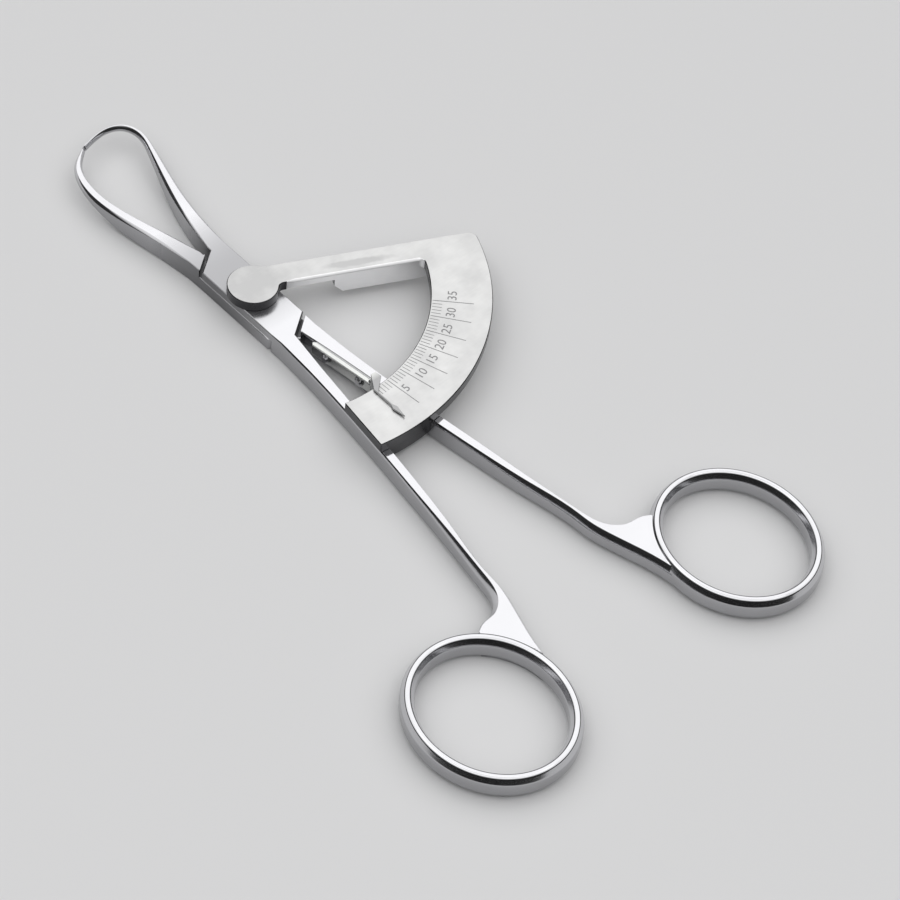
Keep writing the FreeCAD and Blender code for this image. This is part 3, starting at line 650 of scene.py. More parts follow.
def jaw_stations(shares, tip_direction, side):
    """Stations of a jaw, drawn for the upper lever: width = tip + (root - tip) * left ** 1.4."""
    end = np.array([JAW_REACH, 0.01 * JAW_REACH]) - np.array(tip_direction) * TIP_SETBACK
    points = np.vstack([np.array(shares) * JAW_REACH, end]) * (1, side)
    length = np.r_[0, np.cumsum(np.linalg.norm(np.diff(points, axis=0), axis=1))]
    width = TIP_WIDTH + (ROOT_WIDTH - TIP_WIDTH) * (1 - length / length[-1]) ** 1.4
    return np.c_[points, width]


def shank_stations():
    """Stations of a shank, with s from 0 to 1 along it.

    It spreads by 0.72 s + 0.28 s squared, and its width is 2.0 + 1.2 times (1 - s) to the 4th.
    """
    share = np.linspace(0, 1, 7)
    spread = 0.72 * share + 0.28 * share ** 2
    x = SHANK_START[0] + (SHANK_END[0] - SHANK_START[0]) * share
    y = SHANK_START[1] + (SHANK_END[1] - SHANK_START[1]) * spread
    return np.c_[x, y, 2.0 + 1.2 * (1 - share) ** 4]


def ring_point(degrees, out=0.0):
    """Point of the ring's oval: half lengths, plus a distance outward, times cosine and sine."""
    turn = np.radians(np.atleast_1d(degrees))
    return np.c_[RING_CENTRE[0] + (RING_HALF[0] + out) * np.cos(turn),
                 RING_CENTRE[1] + (RING_HALF[1] + out) * np.sin(turn)]


def shoulder_x(y, reach):
    """X on the slanted shoulder line, where x times cosine plus y times sine is the reach."""
    return (reach - y * math.sin(SHOULDER_SLANT)) / math.cos(SHOULDER_SLANT)


print("shank widths:", shank_stations()[:, 2].round(2).tolist())

# %% Both sides of a jaw
JAW_RUNGS = 110
TIP_RUNGS = 6


def jaw_sides(jaw, swell):
    """Inner and outer side of a jaw from the tip to its root, and the two halves of its tip.

    The outer side is pushed out by swell * sin(pi * s ** 1.8). The tip is half a circle:
    the middle plus forward * cos(t), plus or minus half the width * sin(t).
    """
    left, right = sides(jaw)
    share = np.linspace(0, 1, len(jaw))[:, None]
    away = (right - left) / np.linalg.norm(right - left, axis=1)[:, None]
    right = right + away * swell * np.sin(np.pi * share ** 1.8)
    inner = sample(left, JAW_RUNGS)[::-1]
    outer = sample(right, JAW_RUNGS)[::-1]
    centre = (inner[0] + outer[0]) / 2
    half = (inner[0] - outer[0]) / 2
    forward = np.array([half[1], -half[0]])
    turn = np.linspace(0, np.pi / 2, TIP_RUNGS + 1)[:-1, None]
    tips = [centre + forward * np.cos(turn) + sign * half * np.sin(turn) for sign in (1, -1)]
    return inner, outer, *tips


# %% Both sides of a shank
SHANK_RUNGS = 190
NECK_RUNGS = 30
RING_JOIN = 0.96
THROAT = ((1.085, -1.025), (0.978, -0.868), (0.93, -0.697))
THROAT_END, NECK_TOP, NECK_FOOT, NECK_END = -37, -40, -90, -95


def shank_sides():
    """Side stations of a shank, and its fine outer and inner side down to the ring.

    The outer side passes through three throat points, given in shares of the ring's half
    length. The inner side drops to the ring's foot by s squared times (3 - 2 s).
    """
    outside, inside = (side[::-1] for side in sides(shank_stations()[::-1]))
    throat = np.array(THROAT) * RING_HALF[0] + RING_CENTRE
    outer = sample(np.vstack([outside, throat, ring_point(THROAT_END, RING_JOIN)]), SHANK_RUNGS)
    share = np.arange(1, 6)[:, None] / 6
    drop = share ** 2 * (3 - 2 * share)
    foot_point = ring_point(NECK_FOOT, RING_WALL / 2)[0]
    neck = inside[-1] + (foot_point - inside[-1]) * np.hstack([share, drop])
    inner = sample(np.vstack([inside, neck, ring_point(NECK_END, RING_JOIN)]),
                   SHANK_RUNGS + NECK_RUNGS)
    return outside, inside, outer, inner


print("neck ends at", shank_sides()[3][-1].round(2).tolist(), "mm")

# %% [markdown]
# The ladder joins these stretches. In the lap both sides run straight and parallel, and its ends
# need many short rungs, so that the slanted faces of the joint stay clean.

# %% The ladder of a lever
LAP_RUNGS = 16
END_RUNGS = 9
LAP_END = 0.6
BURIED_REACH = -0.6


def lever_sides(jaw, swell):
    """The ladder of a lever: north and south side points, and the name of each stretch.

    The stretches are the tip, the jaw, the step into the lap, the lap itself, the step out of
    it, the shank and the neck that runs into the ring. Both sides have as many points in each.
    """
    inner, outer, tip_north, tip_south = jaw_sides(jaw, swell)
    outside, inside, north_shank, south_shank = shank_sides()
    lap = LAP_HALF_WIDTH
    root_y = inner[-1][1]
    far_inner = (shoulder_x(root_y, SHOULDER_REACH), root_y)
    far_outer = (shoulder_x(lap, SHOULDER_REACH), lap)
    near_inner = (-shoulder_x(-inside[0][1], SHOULDER_REACH), inside[0][1])
    near_outer = (-shoulder_x(lap, SHOULDER_REACH), -lap)
    recess = shoulder_x(lap, RECESS_REACH)
    meet = np.array([(SHOULDER_REACH + RECESS_REACH) / 2 / math.cos(SHOULDER_SLANT),
                     (SHOULDER_REACH - RECESS_REACH) / 2 / math.sin(SHOULDER_SLANT)])
    north = [
        ("tip", tip_north),
        ("jaw", inner[:-1]),
        ("root", np.vstack([straight(inner[-1], far_inner, 3)[:-1], [far_inner, meet]])),
        ("lap", straight(meet, far_outer, END_RUNGS)[:-1]),
        ("lap", straight(far_outer, (-recess + LAP_END, lap), LAP_RUNGS)[:-1]),
        ("lap", straight((-recess + LAP_END, lap), (-recess, lap), END_RUNGS)),
        ("shank", straight((-recess, lap), outside[0], 4)[:-1]),
        ("shank", north_shank),
        ("neck", ring_point(np.linspace(NECK_TOP, NECK_END, NECK_RUNGS), BURIED_REACH)),
    ]
    south = [
        ("tip", tip_south),
        ("jaw", outer[:-1]),
        ("root", straight(outer[-1], (recess, -lap), 4)),
        ("lap", straight((recess, -lap), (recess - LAP_END, -lap), END_RUNGS)[:-1]),
        ("lap", straight((recess - LAP_END, -lap), near_outer, LAP_RUNGS)[:-1]),
        ("lap", straight(near_outer, -meet, END_RUNGS)),
        ("shank", np.vstack([[-meet], straight(near_inner, inside[0], 3)[:-1]])),
        ("shank", south_shank[:SHANK_RUNGS]),
        ("neck", south_shank[SHANK_RUNGS:]),
    ]
    return north, south


# %% [markdown]
# The side wall's round changes along the lever. On the lap it is a fine break of the edge, on the
# jaws it grows until the tip is almost a round wire, and at the neck it grows into the oval
# section of the finger ring, so that the dark line along the edge widens there as on the real one.

# %% Rounds along a lever
LAP_ROUND = 0.16
SHANK_ROUND = (0.34, 0.56)
NECK_ROUND = (0.8, 1.3)
JAW_RISE = 0.62
JAW_GROWTH = 0.25
JAW_SHARE = 0.40
WIDTH_SHARE = 0.42
SHANK_RAMP = 25
NECK_RAMP = (130, 70)


def edge_rounds(names, span, lap_end):
    """How far the edge's round goes in, and how far up, at every rung.

    Past the lap it grows evenly to the shank's round, and before the ring, by s squared times
    (3 - 2 s), to the neck's. Along the jaw it turns from the tip's round to the lap's by the
    6th power of the share, and the 3rd for its height. It keeps to a share of the width.
    """
    number = np.arange(len(names))
    on_jaw = np.isin(names, ("tip", "jaw"))
    share = np.clip(number / (on_jaw.sum() - 1), 0, 1)
    width = np.maximum(span, TIP_WIDTH)
    jaw_round = np.minimum(WIDTH_SHARE * TIP_WIDTH + JAW_GROWTH * share, JAW_SHARE * width)
    across = np.where(on_jaw, jaw_round * (1 - share ** 6) + LAP_ROUND * share ** 6, LAP_ROUND)
    up = np.where(on_jaw, JAW_RISE * (1 - share ** 3) + LAP_ROUND * share ** 3, LAP_ROUND)
    after = np.clip((number - lap_end) / SHANK_RAMP, 0, 1)
    near_ring = np.clip((number - (len(names) - NECK_RAMP[0])) / NECK_RAMP[1], 0, 1)
    near_ring = near_ring ** 2 * (3 - 2 * near_ring)
    across, up = (value + after * (shank - LAP_ROUND) + near_ring * (neck - shank)
                  for value, shank, neck in zip((across, up), SHANK_ROUND, NECK_ROUND))
    return np.minimum(across, WIDTH_SHARE * width), up


# %% The body of a lever
NECK_FADE = 14
END_FADE = 6
BURIED_ROUND = 0.05
DIVE = 1.0
STEP = 0.01
THIN_START = 0.478
THIN_BELOW = (2.1, (0, 0.2, 0.5, 0.75, 1.55), (0, 0.14, 0.68, 0.93, 1.1))
THIN_ABOVE = (0.9, (0, 0.35, 0.7, 1.55), (0, 0.25, 0.75, 1.2))


def round_outline(south, north):
    """Values of the ladder's two sides in the outline's order: up the south, down the north."""
    return np.concatenate([south[::-1], north[1:]])


def ladder_caps(count, columns):
    """Faces of the underside and the top: between rungs, and a triangle at the tip."""
    faces = []
    rung = np.arange(1, count - 1)
    for column, order in ((0, -1), (columns - 1, 1)):
        south = (count - 1 - np.arange(count)) * columns + column
        north = (count - 1 + np.arange(count)) * columns + column
        quads = np.stack([south[rung + 1], south[rung], north[rung], north[rung + 1]], 1)
        faces += quads[:, ::order].tolist()
        faces.append([int(south[1]), int(south[0]), int(north[1])][::order])
    return faces


def lever_shape(jaw, swell, low_lap, high, high_lap):
    """Closed skin of a lever without its ring, in the upper lever's place.

    In the lap the underside and the top take their own heights. Past the thin start the jaw
    thins from below and above, by an amount times a share read off a table. Where the lever
    enters the ring its rounds fade, and its end dives under the ring's crown.
    """
    north_parts, south_parts = lever_sides(jaw, swell)
    names = np.concatenate([[name] * len(points) for name, points in north_parts])
    north = np.vstack([points for _, points in north_parts])
    south = np.vstack([points for _, points in south_parts])
    lap = np.flatnonzero(names == "lap")
    first, last = lap[0], lap[-1]
    for side in (north, south):
        side[first] += (side[first + 1] - side[first]) * STEP
        side[last] += (side[last - 1] - side[last]) * STEP
    across, up = edge_rounds(names, np.linalg.norm(north - south, axis=1), last)
    count = len(north)
    number = np.arange(count)
    buried_north = np.clip((number - count + NECK_RUNGS + NECK_FADE) / NECK_FADE, 0, 1)
    buried_south = np.clip((number - count + END_FADE) / END_FADE, 0, 1)
    across, up = (round_outline(*(values * (1 - buried) + BURIED_ROUND * buried
                                  for buried in (buried_south, buried_north)))
                  for values in (across, up))
    line = round_outline(south, north)
    thin = np.clip((line[:, 0] / JAW_REACH - THIN_START) / (1 - THIN_START), 0, None)
    below, above = (amount * np.interp(thin, places, shares)
                    for amount, places, shares in (THIN_BELOW, THIN_ABOVE))
    in_lap = (number >= first) & (number <= last)
    low = np.where(in_lap, low_lap, 0.0) + DIVE * buried_south
    top = np.where(in_lap, high_lap, high) - DIVE * buried_south
    grid = wall(line, below + round_outline(low, low), round_outline(top, top) - above, across, up)
    rows, columns = grid.shape[:2]
    faces = grid_faces(rows, columns, close_rows=True) + ladder_caps(count, columns)
    return grid.reshape(-1, 3), faces


# %% [markdown]
# The finger ring is an oval bow. Its section has flat sides and a flat crown with wide bevels
# between them. The bevels mirror the dark horizon of the studio, which draws the broad black
# bands on the real rings.

# %% The finger ring
RING_CROWN = 0.85
RING_SIDE = 2.2
RING_CORNER = 0.32
RING_INSET = 0.01
RING_STEPS = 200


def ring_section():
    """Closed section of the bow: an octagon, out and up from its middle, with soft corners."""
    half, rise = RING_WALL / 2 - RING_INSET, RING_HEIGHT / 2
    crown, side = RING_CROWN / 2, RING_SIDE / 2
    return polygon([(half, -side), (half, side), (crown, rise), (-crown, rise), (-half, side),
                    (-half, -side), (-crown, -rise), (crown, -rise)], RING_CORNER)


def ring_shape():
    """Closed bow: its oval middle line, moved out and up by each point of the section."""
    turn = np.linspace(0, 2 * np.pi, RING_STEPS, endpoint=False)[:, None]
    section = ring_section()
    normal = np.stack([np.cos(turn) * RING_HALF[1], np.sin(turn) * RING_HALF[0]], -1)
    normal /= np.linalg.norm(normal, axis=-1, keepdims=True)
    middle = np.stack([RING_HALF[0] * np.cos(turn), RING_HALF[1] * np.sin(turn)], -1)
    plan = middle + normal * section[None, :, :1] + RING_CENTRE
    height = np.broadcast_to(section[:, 1] + RING_HEIGHT / 2, plan.shape[:2])
    return tube(np.concatenate([plan, height[:, :, None]], 2), closed_ends=False)


print("ring section:", len(ring_section()), "points")

# %% Mirror image and stepped bore
BORE_SIDES = 64


def mirrored(shape):
    """The shape on the other side of the middle plane."""
    points, faces = shape
    return np.asarray(points) * (1, -1, 1), [face[::-1] for face in faces]


def bore(name, centre, steps):
    """Stepped round cutter, given as (radius, height) steps from the underside up."""
    turn = np.linspace(0, 2 * np.pi, BORE_SIDES, endpoint=False)
    circle = np.stack([np.cos(turn), np.sin(turn)], 1)
    rows = [np.c_[circle * radius + centre, np.full(BORE_SIDES, height)]
            for radius, height in steps]
    return new_object(name, tube(np.array(rows)))


# %% [markdown]
# The slots of the joint are narrow and lie in shade: dark lines across the bright steel. So their
# walls and floors get painted shade, the same dark finish as the cut edges. A wall is one whose
# normal lies level and along the slant.

# %% Painted shade in the slots of the joint
SLOT_MIDDLE = (SHOULDER_REACH + RECESS_REACH) / 2
SLOT_REACH = 0.45
FLOOR_BAND = 0.05


def paint_slots(thing):
    """Paint shade into the slanted slots of the joint and their floor."""
    normals, centres = face_places(thing)
    slant = np.array([math.cos(SHOULDER_SLANT), math.sin(SHOULDER_SLANT)])
    level = np.linalg.norm(normals[:, :2], axis=1)
    facing = np.abs(normals[:, :2] @ slant) / np.maximum(level, 1e-6)
    distance = np.abs(centres[:, :2] @ slant)
    walls = (level > 0.45) & (facing > 0.8) & (np.abs(distance - SLOT_MIDDLE) < SLOT_REACH)
    floors = (normals[:, 2] > 0.9) & (np.abs(centres[:, 2] - LAP_SPLIT) < FLOOR_BAND)
    close = np.abs(centres[:, 1]) < LAP_HALF_WIDTH + FLOOR_BAND
    # painted shade on the slot walls and floors
    paint(thing, painted_shade_steel, close & (walls | floors))


# %% [markdown]
# The upper lever keeps the upper half of the height in the lap. Its jaw is the rounder one, which
# turns back to meet the other tip.

# %% Body and ring of the upper lever
upper_jaw = jaw_stations(UPPER_JAW, UPPER_TIP, 1)
upper_shape = lever_shape(upper_jaw, 0.0, LAP_CEILING, LEVER_HEIGHT, LEVER_HEIGHT)
upper_body = new_object("upper_lever_body", upper_shape)
upper_ring = new_object("upper_ring", ring_shape())
print("upper lever outline", len(upper_shape[0]), "points")

# %% [markdown]
# Behind the joint a foot stands between the shanks. It carries the end of the scale plate, and the
# closed shank comes to rest against it. Two screws hold the plate, from below.

# %% Stop foot
FOOT_LOW = 1.4
FOOT_NEAR = 32.0
FOOT_RIM = 40.9
FOOT_BEVEL = 0.12
STOP_GAP = 0.1


def side_y(points, x):
    """Y of the smooth side line through stations at a given x, read off a fine run of points."""
    line = sample(points, 2000)
    order = np.argsort(line[:, 0])
    return float(np.interp(x, line[order, 0], line[order, 1]))


def behind(y, radius):
    """Direction, in degrees, to a circle's point behind the joint: 180 - arcsine(y / radius)."""
    return 180 - math.degrees(math.asin(y / radius))


shank_outer, shank_inner = sides(shank_stations()[::-1])
stop_near, stop_far = (-side_y(shank_inner, -reach) + STOP_GAP for reach in (FOOT_NEAR, FOOT_RIM))
mid_near, mid_far = (side_y(shank_stations()[:, :2], -reach) for reach in (FOOT_NEAR, FOOT_RIM))
angle_far = behind(mid_far, FOOT_RIM)
angle_stop = behind(stop_far, FOOT_RIM)
foot_line = np.vstack([
    straight((-FOOT_NEAR, stop_near), (-FOOT_NEAR, mid_near), 6)[:-1],
    straight((-FOOT_NEAR, mid_near), on_circle(FOOT_RIM, angle_far), 6)[:-1],
    arc(FOOT_RIM, angle_far, angle_stop, 12)[:-1],
    straight(on_circle(FOOT_RIM, angle_stop), (-FOOT_NEAR, stop_near), 6)[:-1],
])
foot = new_object("stop_foot", plate(foot_line, FOOT_LOW, LEVER_HEIGHT - 0.01,
                                     FOOT_BEVEL, FOOT_BEVEL))
print("the foot stands from y", round(stop_near, 2), "to", round(mid_far, 2), "mm")

# %% Weld and finish the upper lever
SCREW_X = -(FOOT_NEAR + FOOT_RIM) / 2
SCREW_Y = 1.9
SCREW_STEPS = ((1.42, 0), (1.42, 2.2), (0.82, 2.2), (0.82, 5.0))
combine(upper_body, [upper_ring, foot], "UNION")
screw_holes = [bore("hole", (SCREW_X, y), SCREW_STEPS) for y in (SCREW_Y, -SCREW_Y)]
combine(upper_body, screw_holes, "DIFFERENCE")
finish_metal(upper_body, "upper_half", lever_steel, ["upper_lever"])
paint_slots(upper_body)

# %% [markdown]
# The foot's curved end lies in the plate's shadow, so it gets painted shade. Its faces are those
# between the shanks whose normals point to or from the pivot.

# %% Painted shade on the end of the foot
FOOT_MARGIN = 0.3
normals, centres = face_places(upper_body)
foot_reach = np.maximum(np.linalg.norm(centres[:, :2], axis=1), 1e-6)
turned = np.abs((normals[:, :2] * centres[:, :2]).sum(1)) / foot_reach
between = (np.abs(centres[:, 1]) < mid_far - 1.0) & (centres[:, 0] < -FOOT_NEAR + FOOT_MARGIN)
# painted shade on the foot's curved end
paint(upper_body, painted_shade_steel, between & (turned > 0.7) & (foot_reach < FOOT_RIM + FOOT_MARGIN))

# %% [markdown]
# The lower lever is drawn in the upper one's place and mirrored. Its jaw is a little fuller on the
# outer side, and from below it has a seat for the pivot screw's head and washer.

# %% Lower lever
LOWER_SWELL = 0.65
SEAT_STEPS = ((3.3, -1), (3.3, 1.5), (1.83, 1.5), (1.83, 4))
lower_jaw = jaw_stations(LOWER_JAW, LOWER_TIP, -1)
lower_shape = lever_shape(lower_jaw, LOWER_SWELL, 0.0, LOWER_TOP, LAP_SPLIT)
lower_body = new_object("lower_lever_body", mirrored(lower_shape))
lower_ring = new_object("lower_ring", mirrored(ring_shape()))
combine(lower_body, [lower_ring], "UNION")
combine(lower_body, [bore("seat", (0, 0), SEAT_STEPS)], "DIFFERENCE")
finish_metal(lower_body, "lower_half", lever_steel, ["lower_lever"])
paint_slots(lower_body)

# %% [markdown]
# ## The scale
# Hub, arm and scale band are one flat plate. Its outline is a chain of lines beside the arm and
# arcs about the pivot.

# %% Outline of the sector plate
HUB = 4.5
ARM_OUT = 3.7
ARM_IN = -0.8
SECTOR_CORNERS = (1.0, 1.0, 0.25, 0.25, 1.6, 0.6)


def arm_point(distance, offset):
    """Distance times the arm's direction, plus an offset square to it, to its outer side."""
    turn = math.radians(ARM_ANGLE)
    return np.array([distance * math.cos(turn) - offset * math.sin(turn),
                     distance * math.sin(turn) + offset * math.cos(turn)])


def crossing(radius, offset):
    """Point and direction where a line beside the arm crosses a circle about the pivot.

    It lies along the arm by the root of radius squared less offset squared.
    """
    point = arm_point(math.sqrt(radius ** 2 - offset ** 2), offset)
    return point, math.degrees(math.atan2(point[1], point[0])) % 360


near_angle, far_angle = (behind(side_y(shank_outer, -radius), radius) for radius in BAND)
hub_out, hub_out_angle = crossing(HUB, ARM_OUT)
hub_in, hub_in_angle = crossing(HUB, ARM_IN)
band_in, band_in_angle = crossing(BAND[0], ARM_IN)
band_out, band_out_angle = crossing(BAND[1], ARM_OUT)
sector_line = chain(
    [
        arc(HUB, hub_out_angle - 360, hub_in_angle, 90),
        straight(hub_in, band_in, 20),
        arc(BAND[0], band_in_angle, near_angle, 90),
        straight(on_circle(BAND[0], near_angle), on_circle(BAND[1], far_angle), 12),
        arc(BAND[1], far_angle, band_out_angle, 110),
        straight(band_out, hub_out, 30),
    ],
    SECTOR_CORNERS,
)
print("the band runs from", round(near_angle, 1), "to", round(band_in_angle, 1), "degrees")

# %% [markdown]
# The plate's edge is barely broken, but along the window the arm has a wider bevel, which is the
# bright line beside the window in the photo.

# %% Sector plate
PLATE_BEVEL = 0.14
WINDOW_BEVEL = 0.42
WINDOW_BLEND = 0.1
HUB_CLEAR = 1.5


def beside_arm(vectors):
    """How far vectors point to the arm's inner side: x times its sine less y times its cosine."""
    turn = math.radians(ARM_ANGLE)
    return vectors[:, 0] * math.sin(turn) - vectors[:, 1] * math.cos(turn)


from_edge = np.abs(beside_arm(sector_line) + ARM_IN)
past_hub = np.linalg.norm(sector_line, axis=1) > HUB + HUB_CLEAR
on_window = np.clip((WINDOW_BLEND - from_edge) / WINDOW_BLEND, 0, 1) * past_hub
bevel = PLATE_BEVEL + on_window * (WINDOW_BEVEL - PLATE_BEVEL)
sector = new_object("sector_plate", plate(sector_line, PLATE_LOW, PLATE_HIGH, bevel, bevel))
print("the wide bevel has", int(on_window.sum()), "of", len(bevel), "outline points")

# %% [markdown]
# A deep rib under the arm's inner edge stiffens it. The bright band below the arm in the window
# is this rib, seen from above, and its wall gets a painted highlight.

# %% Rib under the arm
RIB_START = 14.5
RIB_LOW = 1.7
RIB_SLOPE = 1.6
RIB_WIDTH = 2.4
RIB_SINK = 0.5


def rib_shape():
    """Prism under the arm, whose near end slopes: a side outline, carried across the width."""
    end = BAND[0] + 1.0
    top = PLATE_LOW + RIB_SINK
    side = [(RIB_START, RIB_LOW + RIB_SLOPE), (RIB_START + RIB_SLOPE, RIB_LOW), (end, RIB_LOW),
            (end, top), (RIB_START, top)]
    rows = [[(*arm_point(distance, offset), height) for distance, height in side]
            for offset in (ARM_IN, ARM_IN + RIB_WIDTH)]
    return tube(np.array(rows))


combine(sector, [new_object("rib", rib_shape())], "UNION")
finish_metal(sector, "upper_half", scale_steel, ["scale_sector"])

# %% Painted shade on the cut edges, painted highlight along the window
EDGE_TILT = 0.8
WINDOW_TILT = 0.95
WINDOW_REACH = 1.3
normals, centres = face_places(sector)
beside = beside_arm(centres)
past_hub = np.linalg.norm(centres[:, :2], axis=1) > HUB + HUB_CLEAR
window_highlight_faces = (beside > 0) & (beside < WINDOW_REACH) & (beside_arm(normals) > 0.3) & past_hub
# painted shade on every face of the plate that is not level
paint(sector, painted_shade_steel, np.abs(normals[:, 2]) < EDGE_TILT)
# painted highlight on the arm's inner wall and the rib's wall
paint(sector, window_highlight_steel, window_highlight_faces & (np.abs(normals[:, 2]) < WINDOW_TILT))

# %% [markdown]
# The scale reads the distance s between the tips in millimetres. The tips are 46 mm from the
# pivot, so the pointer has turned by twice the arcsine of s / 92. Marks are shallow grooves
# filled with lacquer: thin strips that lie flush, a hundredth of a millimetre proud.

# %% Scale marks
MARK_TOP = PLATE_HIGH + 0.012
MARK_LOW = PLATE_HIGH - 0.05
MARK_WIDTH = 0.14
SHORT_WIDTH = 0.8 * MARK_WIDTH
MARK_START = 30.9
LONG_END = 38.0
SHORT_END = 32.6
BOX_FACES = np.array([(3, 2, 1, 0), (4, 5, 6, 7), (0, 1, 5, 4),
                      (1, 2, 6, 5), (2, 3, 7, 6), (3, 0, 4, 7)])


def reading_angle(reading):
    """Direction of the pointer, in degrees, at a distance between the tips."""
    return ZERO_ANGLE + np.degrees(2 * np.arcsin(np.asarray(reading) / (2 * JAW_REACH)))


def mark_shapes(readings, end, width):
    """Thin boxes along radial lines, all at once: eight corners each."""
    turn = np.radians(reading_angle(readings))[:, None]
    reach = np.array([MARK_START, end, end, MARK_START] * 2)[None, :]
    shift = np.array([-1, -1, 1, 1] * 2)[None, :] * width / 2
    height = np.array([MARK_LOW] * 4 + [MARK_TOP] * 4)[None, :]
    x = reach * np.cos(turn) - shift * np.sin(turn)
    y = reach * np.sin(turn) + shift * np.cos(turn)
    points = np.stack(np.broadcast_arrays(x, y, height), -1).reshape(-1, 3)
    return points, (BOX_FACES[None] + 8 * np.arange(len(readings))[:, None, None]).reshape(-1, 4)


def engrave(thing):
    """Give a thin inlay its lacquer and fix it to the scale."""
    thing.data.materials.clear()
    thing.data.materials.append(engraving)
    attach(thing, "upper_half")
    return thing


fives = np.arange(5, 36, 5)
ones = np.array([value for value in range(1, 36) if value % 5])
long_points, long_faces = mark_shapes(fives, LONG_END, MARK_WIDTH)
short_points, short_faces = mark_shapes(ones, SHORT_END, SHORT_WIDTH)
mark_faces = np.vstack([long_faces, short_faces + len(long_points)]).tolist()
marks = engrave(new_object("scale_marks", (np.vstack([long_points, short_points]), mark_faces)))
print(marks.name, "has", len(fives), "long marks and", len(ones), "short ones")

# %% [markdown]
# Plain numerals stand beside the long marks, with their feet to the pivot. Blender's own font
# makes them, and each is turned into a mesh before it gets its place.

# %% Numerals
NUMERAL_HEIGHT = 2.3
NUMERAL_REACH = 35.0
NUMERAL_DEPTH = 0.03
NUMERAL_GAP = 0.35


def numeral(reading):
    """Mesh object of one number beside its mark: written, thickened, turned and moved."""
    text = bpy.data.curves.new("numeral", "FONT")
    text.body = str(reading)
    text.size = NUMERAL_HEIGHT * MM
    text.extrude = NUMERAL_DEPTH * MM
    text.align_x = "LEFT"
    text.resolution_u = 3
    source = link(bpy.data.objects.new("numeral", text))
    mesh = evaluated_mesh(source)
    bpy.data.objects.remove(source)
    turn = math.radians(float(reading_angle(reading)))
    foot_place = Vector((math.cos(turn), math.sin(turn), 0)) * NUMERAL_REACH * MM
    side = Vector((-math.sin(turn), math.cos(turn), 0)) * NUMERAL_GAP * MM
    lift = Vector((0, 0, (MARK_TOP - NUMERAL_DEPTH) * MM))
    upright = Matrix.Rotation(turn + math.pi / 2, 4, "Z")
    mesh.transform(Matrix.Translation(foot_place + side + lift) @ upright)
    return engrave(link(bpy.data.objects.new(f"numeral_{reading}", mesh)))


numerals = [numeral(int(reading)) for reading in fives]
print("numerals:", [thing.name for thing in numerals])

# %% [markdown]
# ## The pointer
# A spring blade is riveted along the shank. Its post rises past the edge of the scale band, and a
# needle with a spear head reaches over the marks.

# %% Outlines of blade, post and needle
BLADE_START = -15.4
BLADE_SIDES = (0.02, 1.02)
POST_END = -29.6
POST_START = POST_END + 1.3
POST_CORNER = 0.15
NEEDLE_HALF = 0.14
NEEDLE_ROOTS = (31.2, 32.0)
SPEAR_REACH = (35.5, 36.3, 38.7)
SPEAR_HALF = 0.46
POINT_HALF = 0.05


def blade_line(offset):
    """Points beside the lower shank's inner side, from the blade's nose to the post."""
    x = np.linspace(BLADE_START, POST_END, 30)
    y = np.array([-side_y(shank_inner, value) for value in x]) + offset
    return np.stack([x, y], 1)


def radial(distance, across):
    """Distance times the needle's direction, less a distance across to its left side."""
    turn = math.radians(ZERO_ANGLE)
    return (distance * math.cos(turn) + across * math.sin(turn),
            distance * math.sin(turn) - across * math.cos(turn))


wall_side, free_side = (blade_line(offset) for offset in BLADE_SIDES)
nose = (wall_side[0] + free_side[0]) / 2 + (0.5, 0)
blade_outline = chain(
    [
        wall_side[::-1],
        np.vstack([wall_side[0], nose, free_side[0]]),
        free_side,
        straight(free_side[-1], wall_side[-1], 4),
    ],
    (0.2, 0.2, 0.0, 0.0),
)
post_wall_y = float(np.interp(-POST_START, -wall_side[:, 0], wall_side[:, 1]))
post_corners = [(POST_END, wall_side[-1][1]), (POST_START, post_wall_y),
                (POST_START, post_wall_y + 1), (POST_END, free_side[-1][1])]
barb, shoulder, point = SPEAR_REACH
needle_outline = np.array([
    *post_corners[:3],
    radial(NEEDLE_ROOTS[0], NEEDLE_HALF), radial(barb, NEEDLE_HALF),
    radial(shoulder, SPEAR_HALF), radial(point, POINT_HALF),
    radial(point, -POINT_HALF), radial(shoulder, -SPEAR_HALF),
    radial(barb, -NEEDLE_HALF), radial(NEEDLE_ROOTS[1], -NEEDLE_HALF),
])
print("blade outline", len(blade_outline), "points, needle", len(needle_outline))

# %% Pointer
BLADE_LOW = 2.0
NEEDLE_LOW = PLATE_HIGH + 0.15
NEEDLE_HIGH = NEEDLE_LOW + 0.32
POST_HEIGHTS = (BLADE_LOW + 0.1, NEEDLE_HIGH - 0.1)
BLADE_ROUND = (0.15, 0.3)
POST_ROUND = (0.1, 0.1)
NEEDLE_ROUND = (0.04, 0.05)
post_outline = polygon(post_corners, POST_CORNER)
pointer = new_object("pointer_blade", plate(blade_outline, BLADE_LOW, LOWER_TOP, *BLADE_ROUND))
post = new_object("post", plate(post_outline, *POST_HEIGHTS, *POST_ROUND))
needle = new_object("needle", plate(needle_outline, NEEDLE_LOW, NEEDLE_HIGH, *NEEDLE_ROUND))
combine(pointer, [post, needle], "UNION")
finish_metal(pointer, "lower_half", pointer_steel, ["pointer"])

# %% [markdown]
# The screws, the washer and the rivets are right as the solid model has them. They only get their
# finish.

# %% Fasteners
for node in ("pivot_screw", "pivot_washer", "scale_screws", "pointer_rivets"):
    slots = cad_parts[node].data.materials
    slots.clear()
    slots.append(screw_steel)
    print(node, "is finished")

# %% [markdown]
# ## Studio
# Polished steel has no look of its own: it shows the room. Photographers hang a pale tent over it
# and leave dark gaps, and these gaps draw the dark lines along every edge. The world here is such
# a tent: dark near the floor, bright at half height, dimmer overhead, and brightest on the side
# that faces the camera, so that the flat tops shine.

